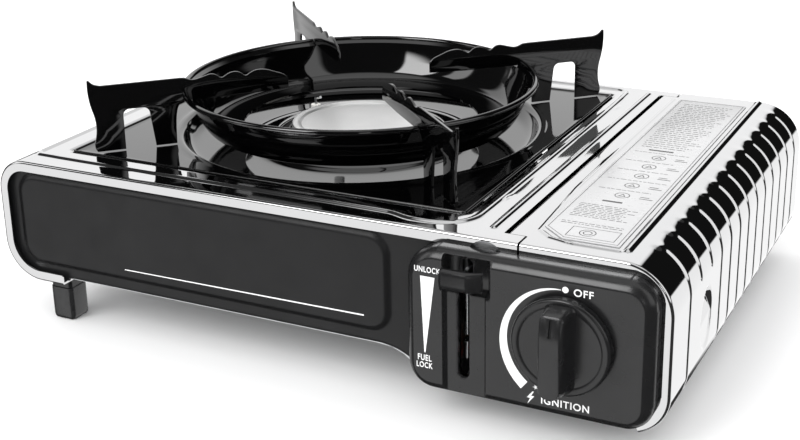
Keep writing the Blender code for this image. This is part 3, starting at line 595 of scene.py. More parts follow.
def make_case():
    """Steel skin of the case, from the strip under its left edge over the top to the seam."""
    floor_z = case_low[2]
    under = 14.0  # width of the strip under the left edge
    u_top = LEFT + CASE_CORNER
    u_corner = u_top - math.pi / 2 * CASE_CORNER
    u_wall = u_corner - (TOP - CASE_CORNER - (floor_z + CASE_BOTTOM))
    u_bottom = u_wall - math.pi / 2 * CASE_BOTTOM
    u_start = u_bottom - under
    low_centre = (LEFT + CASE_BOTTOM, floor_z + CASE_BOTTOM)
    section = [
        (u_start, "line", ((low_centre[0] + under, floor_z), (-1.0, 0.0), (0.0, -1.0))),
        (u_bottom, "arc", (low_centre, CASE_BOTTOM, 270.0, -1.0)),
        (u_wall, "line", ((LEFT, low_centre[1]), (0.0, 1.0), (-1.0, 0.0))),
        (u_corner, "arc", ((u_top, TOP - CASE_CORNER), CASE_CORNER, 180.0, -1.0)),
        (u_top, "line", ((u_top, TOP), (1.0, 0.0), (0.0, 1.0))),
    ]
    u = lines([(u_start, u_bottom, 3.0), (u_bottom, u_wall, 1.0), (u_wall, u_corner, 3.0),
               (u_corner, u_top, 0.9), (u_top, -152.8, 0.6), (-152.8, -131.0, 0.6),
               (-131.0, 36.0, 2.5), (36.0, NOTCH_X, 0.6)])
    front, back = lip_lines()
    across = [(FRONT + CORNER, -73.0, 0.6), (-73.0, 103.0, 2.5), (103.0, BACK - CORNER, 0.6)]
    v = front[:-1] + lines(across) + back[1:]
    gap, play = 0.6, 0.3  # round the tray, and beside the lid's ends
    hole = ((TRAY_X[0] - gap, TRAY_Y[0] - gap), (TRAY_X[1] + gap, TRAY_Y[1] + gap),
            TRAY_CORNER + gap)
    beyond = NOTCH_X + 30.0
    seam = ((SEAM, FRONT + NOTCH_DEPTH - play), (beyond, BACK - NOTCH_DEPTH + play), 0.6)
    notch_x, notch_y, notch_radius = 90.0, FRONT - 8.8, 8.3

    def outside(a, b):
        arch = notch_radius - np.hypot(a - notch_x, b - notch_y)
        arch = np.where(b < FRONT + CORNER, arch, -9.0)
        cut = np.maximum(-box_distance(a, b, *hole), -box_distance(a, b, *seam))
        return np.maximum(cut, arch)

    a, b, keep = trimmed(u, v, outside)
    around = [(-152, -95), (38, -95), (44, -96), (50, -98.5), (58, -99), (66, -98), (73, -94.5),
              (77.3, -88), (78, -80), (78, 118), (75, 124), (69, 126.5), (-146, 126.5),
              (-153, 124), (-156, 118), (-156, -89), (-155, -93)]
    height = ridge(line_distance(a, b, softened(around, 2, True), True), 2.1, 0.95)
    height += ridge(line_distance(a, b, [(88.5, -94), (88.5, 124)]), 1.9, 0.95)
    height -= 1.1 * (1 - smoothstep(box_distance(a, b, *hole), 0.0, 2.0)) * (a > u_top)
    for x, y in ((80.5, -59.0), (81.0, 92.0)):
        height += ridge(np.hypot((a - x) / 1.5, (b - y) / 3.2), 1.0, 0.8)
    outer, inner = bent_sheet(a, b, section, height)
    piece("case_skin", shell(outer, inner, keep), "mirror_steel", "stove", "top_case")


def make_lid():
    """Fluted steel lid with its finger dimple, its pressed ridges and its two hinge ears."""
    roll = 1.6
    u_top = LID_START + roll
    u_roll = u_top - math.pi / 2 * roll
    u_corner = RIGHT - LID_CORNER
    u_side = u_corner + math.pi / 2 * LID_CORNER
    u_curl = u_side + (TOP - LID_CORNER) - CURL_Z
    u_end = u_curl + math.radians(70.0) * LID_CURL
    section = [
        (u_roll, "arc", ((u_top, TOP - roll), roll, 180.0, -1.0)),
        (u_top, "line", ((u_top, TOP), (1.0, 0.0), (0.0, 1.0))),
        (u_corner, "arc", ((u_corner, TOP - LID_CORNER), LID_CORNER, 90.0, -1.0)),
        (u_side, "line", ((RIGHT, TOP - LID_CORNER), (0.0, -1.0), (1.0, 0.0))),
        (u_curl, "arc", ((RIGHT - LID_CURL, CURL_Z), LID_CURL, 0.0, -1.0)),
    ]
    u = lines([(u_roll, u_top, 0.3), (u_top, 121.0, 0.6), (121.0, 143.0, 1.5),
               (143.0, u_side, 0.6), (u_side, u_curl, 0.8), (u_curl, u_end, 0.9)])
    front, back = lip_lines()
    v = front[:-1] + lines([(FRONT + CORNER, BACK - CORNER, 0.45)]) + back[1:]
    edge = NOTCH_X + 1.0

    def outside(a, b):
        ends = np.maximum(FRONT + NOTCH_DEPTH - b, b - (BACK - NOTCH_DEPTH))
        return np.minimum(edge - a, ends)

    a, b, keep = trimmed(u, v, outside)
    height = np.zeros(a.shape)
    start, end = u_corner + math.radians(31.0) * LID_CORNER, u_curl + 9.4
    short = u_corner + math.radians(84.0) * LID_CORNER  # end of the two over the dimple
    for k in range(FLUTES):
        y = FRONT + 24.4 + FLUTE_PITCH * k
        stop = short if k in (1, 2) else end
        beyond = np.maximum(np.maximum(start - a, a - stop), 0.0)
        height -= ridge(np.hypot(beyond, b - y), 1.7, 1.05)
        height += 0.42 * np.exp(-((a - start + 3.2) ** 2 + (b - y) ** 2) / 12.0)
    dimple_y, dimple_u = FRONT + 52.0, u_side + (TOP - LID_CORNER) - (TOP - 42.5)
    across, down = (b - dimple_y) / 9.0, (a - dimple_u) / 14.6
    scoop = 0.6 + 3.8 * np.clip(-down - 0.1 * across, 0.0, 1.0)
    height -= scoop * (1.0 - smoothstep(np.hypot(across, down), 0.84, 1.0))
    left = [(104.0, FRONT + 226), (104.0, FRONT + 21), (117.0, FRONT + 9), (144.0, FRONT + 9)]
    right = [(147.0, FRONT + 11), (147.0, FRONT + 237)]
    height += ridge(line_distance(a, b, softened(left, 1)), 1.5, 0.55)
    height += ridge(line_distance(a, b, right), 2.3, 1.2)
    outer, inner = bent_sheet(a, b, section, height)
    piece("lid_skin", shell(outer, inner, keep), "mirror_steel", "lid", "cartridge_lid")
    hinge = JOINTS["lid_hinge"]["pos_m"]
    hole = circle((hinge[0] / MM, hinge[2] / MM), 1.9, 24)
    ear = softened([(97.7, 83.1), (95.2, 79.8), (96.4, 76.9), (98.5, 76.2), (100.8, 76.9),
                    (102.3, 79.0), (102.6, 83.1)], 1, True)
    thick = 1.2
    nearest = {"front": FRONT + NOTCH_DEPTH + 1.3, "back": BACK - NOTCH_DEPTH - 2.5}
    for side, near in nearest.items():
        mesh = plate([ear, hole], "XZ", near, near + thick, 0.1)
        piece("lid_ear_" + side, mesh, "mirror_steel", "lid")


def make_label():
    """A plain plate with rows of dashes and simple shapes in place of print."""
    (x0, y0, z0), (x1, y1, z1) = corners("lid_label")
    bottom, top = z1 - 0.1, z1 - 0.04  # of every mark
    left, right = x0 + 4.0, x1 - 3.5
    half = 0.14  # half width of the border line
    outline = [(x0, y1), (x0, y0 + 10.0), (x0 + 11.0, y0), (x1, y0), (x1, y1)]
    levels = [(0, 0, z0 - 0.25), (0, 0, z1 - 0.14), (0, 0.12, z1 - 0.08)]
    piece("label_plate", prism([outline], levels, "XY"), "label", "lid", "lid_label")
    marks = []
    rng = random.Random(7)

    def bar(xa, xb, ya, yb):
        low, high = (min(xa, xb), min(ya, yb), bottom), (max(xa, xb), max(ya, yb), top)
        marks.append(block(low, high))

    def ring(outer, inner):
        marks.append(plate([outer, inner], "XY", bottom, top))

    def row(y, height):
        x = left + rng.uniform(0.0, 1.0)
        end = right - rng.uniform(0.0, 7.0)
        while x < end:
            width = rng.uniform(0.8, 3.4)
            bar(x, min(x + width, end), y, y + height)
            x += width + rng.uniform(0.5, 0.9)

    border = inset(outline, 1.2)
    for (ax, ay), (bx, by) in zip(border, np.roll(border, -1, 0)):
        if min(abs(ax - bx), abs(ay - by)) < 0.01:
            bar(ax - half, bx + half, ay - half, by + half)
        else:
            sx, sy = Vector((by - ay, ax - bx)).normalized() * half
            cut = [(ax - sx, ay - sy), (ax + sx, ay + sy), (bx + sx, by + sy), (bx - sx, by - sy)]
            marks.append(prism([cut], [(0, 0, bottom), (0, 0, top)], "XY"))
    y = y0 + 17.0
    for rows, gap in ((2, 5.5), (9, 4.0)):
        for _ in range(rows):
            row(y, 0.45)
            y += 1.9
        y += gap
    bar(left + 8, left + 17, y, y + 1.6)
    y += 6.0
    for _ in range(5):
        cx, cy = left + 14.0 + rng.uniform(-1, 1), y + 4.0
        ring(circle((cx, cy), 3.4, 45), circle((cx, cy), 3.0, 45))
        ring([(cx - 1.8, cy - 1.4), (cx + 1.8, cy - 1.4), (cx, cy + 1.9)],
             [(cx - 1.1, cy - 1.0), (cx + 1.1, cy - 1.0), (cx, cy + 1.15)])
        bar(left + 22, left + 28, y + 2.5, y + 3.1)
        bar(left + 22, left + 26, y + 4.6, y + 5.2)
        y += 10.5
        row(y, 0.4)
        y += 3.4
    bar(left + 6, left + 18, y, y + 1.6)
    y += 5.0
    while y < y1 - 8:
        row(y, 0.5)
        y += 3.1
    near, far = y0 + 3.5, y0 + 14.5
    box = [(left + 7.0, near), (right, near), (right, far), (left + 7.0, far)]
    ring(box, inset(box, 0.3))
    centre = (left + 15.0, y0 + 9.0)
    for outer, inner in ((3.6, 3.2), (2.0, 1.6)):
        ring(circle(centre, outer, 45), circle(centre, inner, 45))
    piece("label_marks", join(marks), "grey_print", "lid")


# ---- burner side


def make_tray():
    """Polar mesh from the burner opening over the stepped well to the raised rim."""
    edge = np.array(rounded(TRAY_X, TRAY_Y, TRAY_CORNER, 8))
    spacing, thick = 2.0, 0.8
    walk = []
    for (ax, ay), (bx, by) in zip(edge, np.roll(edge, -1, 0)):
        count = max(1, int(math.hypot(bx - ax, by - ay) / spacing))
        walk += [(ax + (bx - ax) * n / count, ay + (by - ay) * n / count) for n in range(count)]
    walk = np.array(walk)
    angle = np.arctan2(walk[:, 1] - BURNER[1], walk[:, 0] - BURNER[0])[:, None]
    well = [(38.0, -3.6), (38.4, -3.05), (43.0, -3.2), (45.2, -5.0), (56.0, -5.3), (58.6, -7.3),
            (62.0, -7.6), (83.0, -7.4), (87.6, -6.6), (90.3, -3.6), (91.6, -0.6), (93.4, 0.25),
            (95.2, 0.2), (96.6, 0.0)]
    radius, depth = np.array(softened(well, 3)).T
    rings = np.zeros((len(walk), len(radius), 3))
    rings[..., 0] = BURNER[0] + radius * np.cos(angle)
    rings[..., 1] = BURNER[1] + radius * np.sin(angle)
    rings[..., 2] = TRAY_TOP + depth
    rim = np.array([(1.75, 0.0), (1.45, 0.08), (1.2, 0.4), (0.95, 0.68), (0.6, 0.8),
                    (0.25, 0.68), (0.05, 0.4), (0.0, 0.0), (0.0, -0.45)])
    run = np.roll(walk, -1, 0) - np.roll(walk, 1, 0)
    run /= np.linalg.norm(run, axis=1)[:, None]
    inward = np.stack([-run[:, 1], run[:, 0]], 1)
    border = np.zeros((len(walk), len(rim), 3))
    border[..., :2] = walk[:, None] + inward[:, None] * rim[:, :1]
    border[..., 2] = TRAY_TOP + rim[:, 1]
    between = np.linspace(0, 1, 9)[None, 1:-1, None]
    flat = rings[:, -1:] * (1 - between) + border[:, :1] * between
    outer = np.concatenate([rings, flat, border], 1)
    around = np.roll(outer, -1, 0) - np.roll(outer, 1, 0)
    normal = np.cross(np.gradient(outer, axis=1), around)
    normal /= np.maximum(np.linalg.norm(normal, axis=2), 1e-9)[..., None]
    normal *= np.sign(normal[:, len(radius) // 2, 2].mean())
    mesh = shell(outer, outer - normal * thick, wrap=True)
    low, high = corners("electrode_ceramic")
    at = ((low[0] + high[0]) / 2, (low[1] + high[1]) / 2)
    hole = prism([circle(at, 4.0, 36)], [(0, 0, 70.0), (0, 0, 82.0)], "XY")
    piece("tray_skin", carved(mesh, hole), "enamel", "stove", "spill_tray")


def make_bowl():
    """Turned bowl with a rolled rim and a slot for each arm."""
    rim_r = (bowl_high[0] - bowl_low[0]) / 2
    rim_z, base = bowl_high[2], bowl_low[2]
    wall = [(61.0, 0.0), (73.0, 0.0), (77.8, 0.9), (80.4, 3.0), (82.8, 6.8), (85.2, 12.3),
            (87.0, 16.8), (87.8, 19.3)]
    wall = softened([(r, base + z) for r, z in wall], 3)
    inner = [(r - 0.95, z + 0.35) for r, z in wall]
    inner[0] = wall[0]
    inner = [(r, max(z, base + SHEET)) for r, z in inner]
    roll = arc((rim_r - 1.5, rim_z - 1.5), 1.5, 195, -110, 20)
    mesh = lathe(wall + roll[::-1] + inner[::-1], (*BURNER, 0.0), 256)
    slots = []
    for degrees in ARM_TURNS:
        slots.append(block((80.0, -0.95, 105.1), (96.0, 0.95, 120.0)))
        slots[-1].transform(turn_about_burner(degrees))
    piece("bowl_skin", carved(mesh, *slots), "enamel", "trivet", "trivet_bowl")


def turn_about_burner(degrees):
    at = Matrix.Translation(Vector((*BURNER, 0.0)) * MM)
    return at @ Matrix.Rotation(math.radians(degrees), 4, "Z")


def make_arms():
    """Support arms with smooth scallops and thin round edges."""
    top = [(38.0, 28.0), (40.0, 30.2), (45.0, 32.0), (49.0, 33.6), (54.0, 34.0), (57.5, 32.6),
           (59.8, 31.0), (62.3, 33.4), (65.5, 34.2), (69.0, 33.2), (72.0, 31.1), (74.8, 33.6),
           (77.6, 34.1), (80.5, 33.2), (86.5, 31.6), (90.5, 33.3)]
    horn = [(93.0, 33.5), (131.8, 33.5)]
    horn += softened([(131.8, 33.5), (135.3, 34.4), (137.2, 36.6)], 2)[1:]
    side = softened([(138.0, 36.4), (138.2, 31.0), (137.4, 24.0), (135.4, 17.0), (135.2, 10.0),
                     (137.1, 3.0), (135.6, 0.2)], 2)
    window = [(121.8, 0.2), (121.8, 17.5)] + arc((118.8, 17.5), 3.0, 0, 90, 6)[1:]
    window += arc((112.0, 17.3), 3.2, 90, 170, 5) + [(106.8, 0.2)]
    inner = [(96.2, 8.0), (95.8, 15.0), (94.0, 21.0), (89.0, 21.8)]
    inner = [(96.4, 0.2)] + softened(inner, 2) + [(60.0, 21.8), (38.0, 22.7)]
    outline = [(r, TOP + z) for r, z in softened(top, 2) + horn + side + window + inner]
    thick = 1.3
    names = ("back_right", "back_left", "front_left", "front_right")
    for name, degrees in zip(names, ARM_TURNS):
        arm = plate([outline], "XZ", -thick / 2, thick / 2, 0.22)
        arm.transform(turn_about_burner(degrees))
        piece("arm_" + name, arm, "enamel", "trivet", "pan_support_" + name, angle=50.0)


def make_burner():
    """Burner cap with a ring of ports cut into its edge."""
    steps, pitch, open_steps = 432, 12, (0, 1, 2)
    cap = [(0.0, 84.2), (28.3, 84.35), (30.1, 84.1), (31.1, 83.9), (31.8, 84.4), (32.7, 85.1),
           (34.7, 85.25), (35.7, 84.9)]
    cap = softened(cap, 3)
    cap += [(36.0, 84.3), (36.0, 80.8), (35.7, 80.6), (32.5, 79.75), (0.0, 79.75)]

    def ports(angle, r, z):
        step = int(angle / (2 * math.pi) * steps + 0.5)
        return r - 1.6 if r > 35.3 and z < 84.2 and step % pitch in open_steps else r

    mesh = lathe(cap, (*BURNER, 0.0), steps, warp=ports)
    piece("cap_skin", mesh, "brushed_disc", "stove", "burner_cap")


# ---- front


def outline_distance(x, y, points):
    """Signed distance to a closed outline, negative inside."""
    distance = line_distance(x, y, points, True)
    inside = np.zeros(np.shape(x), bool)
    for (ax, ay), (bx, by) in zip(points, points[1:] + points[:1]):
        if ay != by:
            inside ^= ((ay > y) != (by > y)) & (x < (bx - ax) * (y - ay) / (by - ay) + ax)
    return np.where(inside, -distance, distance)


def pierced(outline, slot, bore):
    """Signed distance to an outline with a slot and a round hole for the knob's spindle."""

    def outside(a, b):
        found = np.maximum(outline_distance(a, b, outline), -box_distance(a, b, *slot))
        return np.maximum(found, bore - np.hypot(a - KNOB[0], b - KNOB[2]))

    return outside


def make_front():
    """Painted front sheet with its raised field, its line and the sheet behind the lip's notch."""
    face = sheet_high[1] - SHEET
    case_gap, lid_gap = 1.5, 2.5
    low_centre = (LEFT + CASE_BOTTOM, case_low[2] + CASE_BOTTOM)
    outline = arc(low_centre, CASE_BOTTOM - case_gap, 262, 180, 10)
    outline += arc((LEFT + CASE_CORNER, TOP - CASE_CORNER), CASE_CORNER - case_gap, 180, 90, 10)
    outline += arc((RIGHT - LID_CORNER, TOP - LID_CORNER), LID_CORNER - lid_gap, 90, 0, 10)
    outline += arc((RIGHT - LID_CURL, CURL_Z), LID_CURL - lid_gap, 0, -55, 8)
    rise = softened([(66, 13.2), (60, 15), (53, 20.5), (46, 23.5), (39, 24.5)], 2)
    outline += [(148.0, 13.2), (66.0, 13.2)] + rise[1:] + [(-134.6, 24.4), (-134.8, 22.4)]
    slot = ((77.0, 18.0), (91.0, 77.0), 3.0)
    u = lines([(LEFT + 1.0, -146.0, 0.8), (-146.0, 30.0, 2.2), (30.0, 66.0, 0.8),
               (66.0, RIGHT - 2.0, 1.1)])
    a, b, keep = trimmed(u, lines([(13.0, 82.3, 0.75)]), pierced(outline, slot, 5.2))
    field = box_distance(a, b, (-160.5, 29.5), (45.0, 77.5), 11.0)
    swell = 1.7 * (1 - smoothstep(field, -3.4, 0.0))
    swell -= 0.5 * smoothstep(outline_distance(a, b, outline), -1.6, 0.0)
    outer = np.stack([a, face - swell, b], -1)
    inner = np.stack([a, face + SHEET - 0.9 * swell, b], -1)
    piece("front_skin", shell(outer, inner, keep), "black_paint", "stove", "front_panel")
    line = prism([[(-97.8, 35.9), (31.8, 37.0), (31.8, 37.65), (-97.8, 36.35)]],
                 [(0, 0, face - 1.66), (0, 0, face - 1.76)], "XZ")
    piece("front_line", line, "white_print", "stove")
    backing = rounded((81.5, 98.5), (TOP - 5.5, TOP - 1.3), 0.4, 3)
    backing = prism([backing], round_edge(0.1, FRONT + 1.6, FRONT + 2.2, 2), "XZ")
    piece("lip_backing", backing, "zinc", "stove")


def make_panel():
    """Raised plastic panel: round edges, the lever's channel, its pocket and its slot."""
    (x0, _, z0), (x1, back, z1) = panel_low, panel_high
    radius, wide = 12, 14  # of three corners, and of the top left corner
    outline = arc((x1 - radius, z1 - radius), radius, 0, 90, 14)
    outline += arc((x0 + wide, z1 - wide), wide, 90, 180, 14)
    outline += arc((x0 + radius, z0 + radius), radius, 180, 270, 14)
    outline += arc((x1 - radius, z0 + radius), radius, 270, 360, 14)
    slot = ((80.5, 21.5), (85.7, 74.5), 2.5)
    margin, spacing = 0.2, 0.5
    u = lines([(x0 - margin, x1 + margin, spacing)])
    v = lines([(z0 - margin, z1 + margin, spacing)])
    a, b, keep = trimmed(u, v, pierced(outline, slot, 4.0))
    edge = np.clip(-outline_distance(a, b, outline), 0.0, 9.0)
    t = np.clip(1 - edge / 4.0, 0.0, 1.0)
    depth = 1.9 * t + 2.5 * (1 - np.sqrt(np.maximum(1 - t ** 2.2, 0.0)))
    channel = band(a, 74.4, 75.6, 92.6, 94.4) * (1 - smoothstep(b, 75.8, 77.6))
    pocket = band(a, 74.4, 75.2, 94.6, 96.0) * band(b, 60.0, 62.0, 75.8, 77.2)
    depth = np.maximum(depth, 2.3 * channel) + 4.0 * pocket
    rim = np.clip(1.0 + box_distance(a, b, *slot), 0.0, 2.0)
    outer = np.stack([a, FACE + depth + 0.25 * (1 - smoothstep(rim, 1.0, 1.7)), b], -1)
    thin = (np.abs(a - 83.0) < 6.6) & (np.abs(b - 48.0) < 29.3)  # round the slot
    lapped = (edge < 3.0) & (a > SEAM)  # in front of the lid's lip
    behind = np.where(lapped, FRONT - 0.15, np.where(thin, FACE + depth + 1.8, back))
    inner = np.stack([a, behind, b], -1)
    piece("panel_skin", shell(outer, inner, keep), "black_plastic", "stove", "control_panel")
    strip = rounded((80.4, 82.3), (27.4, 78.6), 0.3, 3)
    strip = prism([strip], round_edge(0.1, -107.2, -103.95, 2), "XZ")
    bite = prism([circle((82.3, 37.0), 1.7, 24)], [(0, 0, -112.0), (0, 0, -102.0)], "XZ")
    piece("slot_liner", carved(strip, bite), "steel", "stove")


def lettering(words, x, z):
    """Letters that fill a box on the panel's face."""
    curve = bpy.data.curves.new("letters", "FONT")
    curve.body = words
    curve.size = 1.0
    curve.offset = 0.016
    curve.space_character = 1.12
    curve.resolution_u = 6
    mesh = baked(linked("letters", curve))
    sunk, thick = 0.03, 0.08
    with opened(mesh) as bm:
        bmesh.ops.remove_doubles(bm, verts=bm.verts[:], dist=0.0001)
        made = bmesh.ops.extrude_face_region(bm, geom=bm.faces[:])
        for vert in [g for g in made["geom"] if isinstance(g, bmesh.types.BMVert)]:
            vert.co.z += 1.0
        co = np.array([v.co[:] for v in bm.verts])
        low, high = co.min(0), co.max(0)
        for vert in bm.verts:
            s, t, _ = (np.array(vert.co) - low) / (high - low)
            y = FACE + sunk - thick * vert.co.z
            vert.co = Vector((x[0] + s * (x[1] - x[0]), y, z[0] + t * (z[1] - z[0]))) * MM
    return mesh


def make_print():
    """White marks of the knob and of the lever."""
    levels = [(0, 0, FACE + 0.03), (0, 0, FACE - 0.05)]
    words = {"OFF": ((131.8, 140.0), (14.2, 11.0)), "IGNITION": ((118.9, 139.5), (64.6, 61.3)),
             "UNLOCK": ((61.9, 73.8), (15.5, 12.9)), "FUEL": ((63.0, 69.4), (56.2, 53.4)),
             "LOCK": ((62.4, 69.9), (59.6, 56.9))}  # x from and to, and depths under the top
    marks = [lettering(word, x, (TOP - low, TOP - high)) for word,
             (x, (low, high)) in words.items()]
    wedge = [(64.6, TOP - 17.3), (66.1, TOP - 52.3), (66.6, TOP - 52.3), (71.2, TOP - 17.3)]
    dot = circle((128.3, TOP - 12.2), 1.35, 36)
    start, end, steps = 93.5, 231.5, 63
    centre = (KNOB[0], KNOB[2] - 1.1)
    sweep = arc(centre, 24.4, start, end, steps)
    for degrees in np.linspace(end, start, steps + 1):
        radius = 24.6 + 4.3 * ((degrees - start) / 135.5) ** 0.8
        sweep += arc(centre, radius, degrees, degrees, 0)
    bolt = [(0.9, 2.6), (-1.5, -0.5), (-0.1, -0.5), (-1.3, -3.4), (1.7, 0.5), (0.3, 0.5),
            (1.5, 2.6)]
    bolt = [(114.2 + x, TOP - 62.6 + z) for x, z in bolt]
    star = []
    for k, radius in enumerate((0.4, 1.25) * 5):
        star += arc((116.4, TOP - 57.8), radius, 36 * k, 36 * k, 0)
    marks += [prism([shape], levels, "XZ") for shape in (wedge, dot, sweep, bolt, star)]
    piece("panel_print", join(marks), "white_print", "stove", angle=20.0)


def make_knob():
    """Disc and tapering grip of the knob, with the groove that points at the print."""
    x, _, z = KNOB
    r = (knob_high[0] - knob_low[0]) / 2
    near, far, bend = -116.6, -120.9, 1.4
    profile = [(0.0, near), (r - 0.4, near), (r, near - 0.4), (r, far + bend)]
    profile += arc((r - bend, far + bend), bend, 0, -90, 6)[1:]
    profile += [(r - 3.2, far), (r - 3.6, far + 0.25), (r - 4.2, far + 0.3), (0.0, far + 0.3)]
    disc = lathe(profile, (x, 0.0, z), 192, "Y")
    bore = [(0.0, -110.0), (3.3, -110.0), (3.3, -118.6), (0.0, -118.6)]
    mesh = carved(disc, lathe(bore, (x, 0.0, z), 48, "Y"))
    piece("knob_disc", mesh, "black_plastic", "knob", "knob")
    rows = [(-120.0, 7.2, 18.9, 20.6), (-120.7, 6.6, 18.8, 20.4), (-121.6, 6.05, 18.7, 20.0),
            (-122.8, 5.75, 18.6, 19.6), (-124.6, 5.5, 18.5, 19.2), (-126.0, 5.35, 18.4, 18.8),
            (-129.0, 5.1, 18.2, 18.2), (-130.2, 5.0, 17.9, 17.9), (-130.7, 4.9, 17.2, 17.7),
            (-132.5, 4.65, 10.4, 17.2), (-132.9, 4.3, 8.8, 16.8), (-133.0, 3.8, 7.6, 16.2)]
    outlines, levels = [], []  # a row is (y, half width, reach up, reach down)
    for n, (y, half, up, down) in enumerate(rows):
        top, low = min(2.3, half * 0.45), half * 0.92
        ring = arc((x + half - top, z + up - top), top, 0, 90, 6)
        ring += arc((x - half + top, z + up - top), top, 90, 180, 6)
        ring += arc((x - half + low, z - down + low), low, 180, 270, 10)
        ring += arc((x + half - low, z - down + low), low, 270, 360, 10)
        outlines.append(ring)
        levels.append((n, 0.0, y))
    groove = prism([rounded((-0.7, 0.7), (-3.9, 3.6), 0.6, 5)], [(0, 0, -3.0), (0, 0, 0.8)], "XZ")
    tilt = Matrix.Rotation(math.radians(-15.0), 4, "X")
    groove.transform(Matrix.Translation(Vector((x, -131.7, z + 13.4)) * MM) @ tilt)
    grip = carved(prism(outlines, levels, "XZ"), groove)
    piece("knob_grip", grip, "black_plastic", "knob", angle=30.0)


def make_lever():
    """Tab of the lever, with its right end set back and a pocket for the arm."""
    (x0, y0, z0), (x1, y1, z1) = corners("lever_tab")
    outlines = []
    for back in (0.0, 0.5, 3.8):
        near = y0 + back
        side = [(y1 - 1.0, z0), (near + 1.2, z0), (near, z0 + 3.4), (near + 0.2, z1 - 1.6),
                (near + 1.2, z1 - 0.2), (y1, z1 - 0.3), (y1, z0 + 0.8)]
        outlines.append(softened(side, 2, True))
    levels = [(0, 0.6, x0), (0, 0.2, x0 + 0.2), (0, 0.0, x0 + 0.6), (0, 0.0, 87.0),
              (1, 0.0, 88.2), (2, 0.0, x1 - 0.4), (2, 0.15, x1 - 0.1), (2, 0.3, x1)]
    arm_x = corners("lever_arm")[0][0]
    pocket = block((arm_x - 0.2, y0 + 1.2, z0 + 1.4), (84.7, y1 + 4.0, z1 - 2.2))
    tab = carved(prism(outlines, levels, "YZ"), pocket)
    piece("tab_skin", tab, "black_plastic", "lever", "lever_tab")


def make_feet():
    """Square feet with a hollow for the screw."""
    for place in ("front_left", "rear_left", "front_right", "rear_right"):
        (x0, y0, _), (x1, y1, top) = corners("foot_" + place)
        levels = [(0, 1.5, 0.0), (0, 0.7, 0.25), (0, 0.25, 0.9), (0, 0.0, 2.2),
                  (0, 0.0, top - 4.2), (0, 0.5, top - 3.8), (0, 0.5, top)]
        foot = prism([rounded((x0, x1), (y0, y1), 2.4, 6)], levels, "XY")
        hollow = circle(((x0 + x1) / 2, (y0 + y1) / 2), 3.4, 24)
        foot = carved(foot, prism([hollow], [(0, 0, -1.0), (0, 0, 4.0)], "XY"))
        piece("leg_" + place, foot, "black_plastic", "stove", "foot_" + place)


# ---- stage


def make_stage():
    """Plain pale floor, just under the feet, that the polished sheet doesn't mirror."""
    mesh = bpy.data.meshes.new("floor")
    with opened(mesh) as bm:
        bmesh.ops.create_grid(bm, x_segments=24, y_segments=24, size=4.0)
    floor = linked("floor", mesh)
    floor.location.z = -0.2 * MM
    material, tree, shader = node_tree("floor")
    shade = ranged(tree, noise(tree, 3.0), 0.0, 1.0)
    colour = mixed(tree, shade, (0.87, 0.87, 0.875), (0.9, 0.9, 0.9))
    roughness = ranged(tree, noise(tree, 40.0), 0.75, 0.9)
    feed(tree, shader, {"Base Color": colour, "Roughness": roughness, "Specular IOR Level": 0.1})
    mesh.materials.append(material)
    floor.visible_glossy = False


# Areas of the mirrored room as (azimuth, elevation, softness of the edge, brightness) in degrees,
# with azimuths from +Y towards +X.  A later one covers the earlier ones.
PATCHES = [
    ((-80.0, 3.0), (2.0, 36.0), 4.0, 1.55),
    ((-40.0, 3.0), (32.0, 60.0), 4.0, 1.2),
    ((70.0, 120.0), (4.0, 62.0), 3.0, 1.5),
    ((8.0, 62.0), (-91.0, -3.0), 1.5, 1.5),
    ((-3.0, 10.0), (-29.0, -3.0), 1.5, 1.5),
    ((3.0, 42.0), (-3.0, 33.0), 1.0, 0.01),
    ((-85.0, -45.0), (-40.0, -5.0), 4.0, 0.9),
    ((-186.0, -125.0), (-50.0, -2.0), 2.0, 1.5),
    ((-172.0, -140.0), (28.0, 56.0), 1.5, 9.0),
    ((-128.0, -114.0), (10.0, 44.0), 1.5, 3.0),
    ((146.0, 153.0), (4.0, 16.0), 1.0, 4.0),
]
CEILING = (58.0, 68.0)  # elevations between which the room brightens
ROOM_LEVEL, CEILING_LEVEL = 0.05, 1.15
FILL = 0.95  # extra brightness of the room for diffuse rays


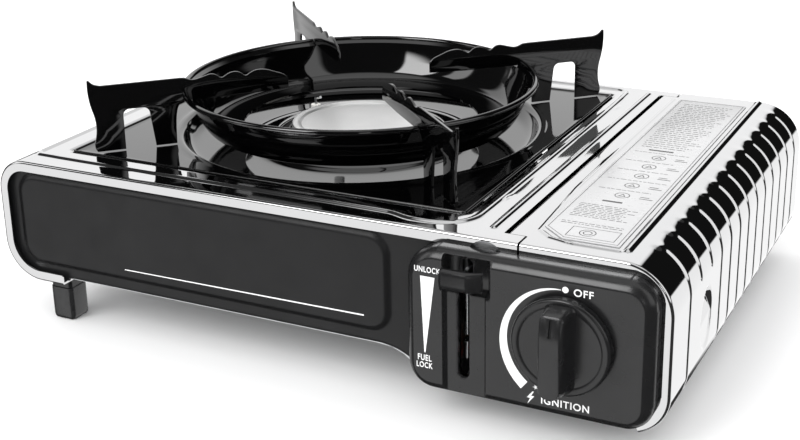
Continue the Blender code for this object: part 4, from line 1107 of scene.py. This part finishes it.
def make_world():
    """Soft white room with darker and brighter areas that the polished sheet mirrors."""
    world = bpy.data.worlds.new("room")
    bpy.context.scene.world = world
    world.use_nodes = True
    tree = world.node_tree
    tree.nodes.clear()

    def maths(operation, *values):
        inputs = dict(enumerate(values))
        return add_node(tree, "Math", inputs, operation=operation).outputs[0]

    def step(value, low, high):
        limits = {"Value": value, "From Min": low, "From Max": high}
        node = add_node(tree, "MapRange", limits, interpolation_type="SMOOTHSTEP")
        return node.outputs["Result"]

    coords = add_node(tree, "TexCoord")
    split = add_node(tree, "SeparateXYZ", {0: coords.outputs["Generated"]})
    x, y, z = split.outputs
    azimuth = maths("MULTIPLY", maths("ARCTAN2", x, y), 180.0 / math.pi)
    elevation = maths("MULTIPLY", maths("ARCSINE", z), 180.0 / math.pi)
    level = maths("ADD", ROOM_LEVEL, maths("MULTIPLY", step(elevation, *CEILING), CEILING_LEVEL))
    for az, el, soft, value in PATCHES:
        area = 1.0
        for angle, (low, high) in ((azimuth, az), (elevation, el)):
            area = maths("MULTIPLY", area, step(angle, low - soft, low + soft))
            area = maths("MULTIPLY", area, step(angle, high + soft, high - soft))
        rest = maths("MULTIPLY", level, maths("SUBTRACT", 1.0, area))
        level = maths("ADD", rest, maths("MULTIPLY", area, value))
    ray = add_node(tree, "LightPath").outputs
    even = maths("MAXIMUM", ray["Is Camera Ray"], ray["Is Diffuse Ray"])
    fill = maths("ADD", 1.0, maths("MULTIPLY", ray["Is Diffuse Ray"], FILL))
    room = add_node(tree, "Background", {"Strength": level})
    plain = add_node(tree, "Background", {"Strength": fill})
    chosen = add_node(tree, "MixShader", {0: even, 1: room.outputs[0], 2: plain.outputs[0]})
    add_node(tree, "OutputWorld", {"Surface": chosen.outputs[0]})


def make_camera():
    """Camera fitted to the edges of the body in the photograph."""
    data = bpy.data.cameras.new("camera")
    data.sensor_width = 36.0
    data.lens = 62.21
    data.shift_y = -0.0621
    data.clip_start = 0.01
    camera = linked("camera", data)
    right = Vector((0.89401, 0.44766, -0.01844))
    up = Vector((-0.13148, 0.30149, 0.94436))
    forward = Vector((-0.42831, 0.84185, -0.32839))
    turn = Matrix((right, up, -forward)).transposed().to_4x4()
    camera.matrix_world = Matrix.Translation((0.2972, -0.5897, 0.2960)) @ turn
    bpy.context.scene.camera = camera


def finish_frame_nodes():
    """Gives every CAD node that still shows the procedural finish of its slot."""
    for entry in frame["record"]["subparts"]:
        obj = frame["nodes"][entry["node"]]
        obj.data.materials.clear()
        obj.data.materials.append(FINISHES[entry["material_slot"]])


make_camera()
make_case()
make_lid()
make_label()
make_tray()
make_bowl()
make_arms()
make_burner()
make_front()
make_panel()
make_print()
make_knob()
make_lever()
make_feet()
finish_frame_nodes()
make_stage()
make_world()
bpy.context.scene.view_settings.view_transform = "Standard"
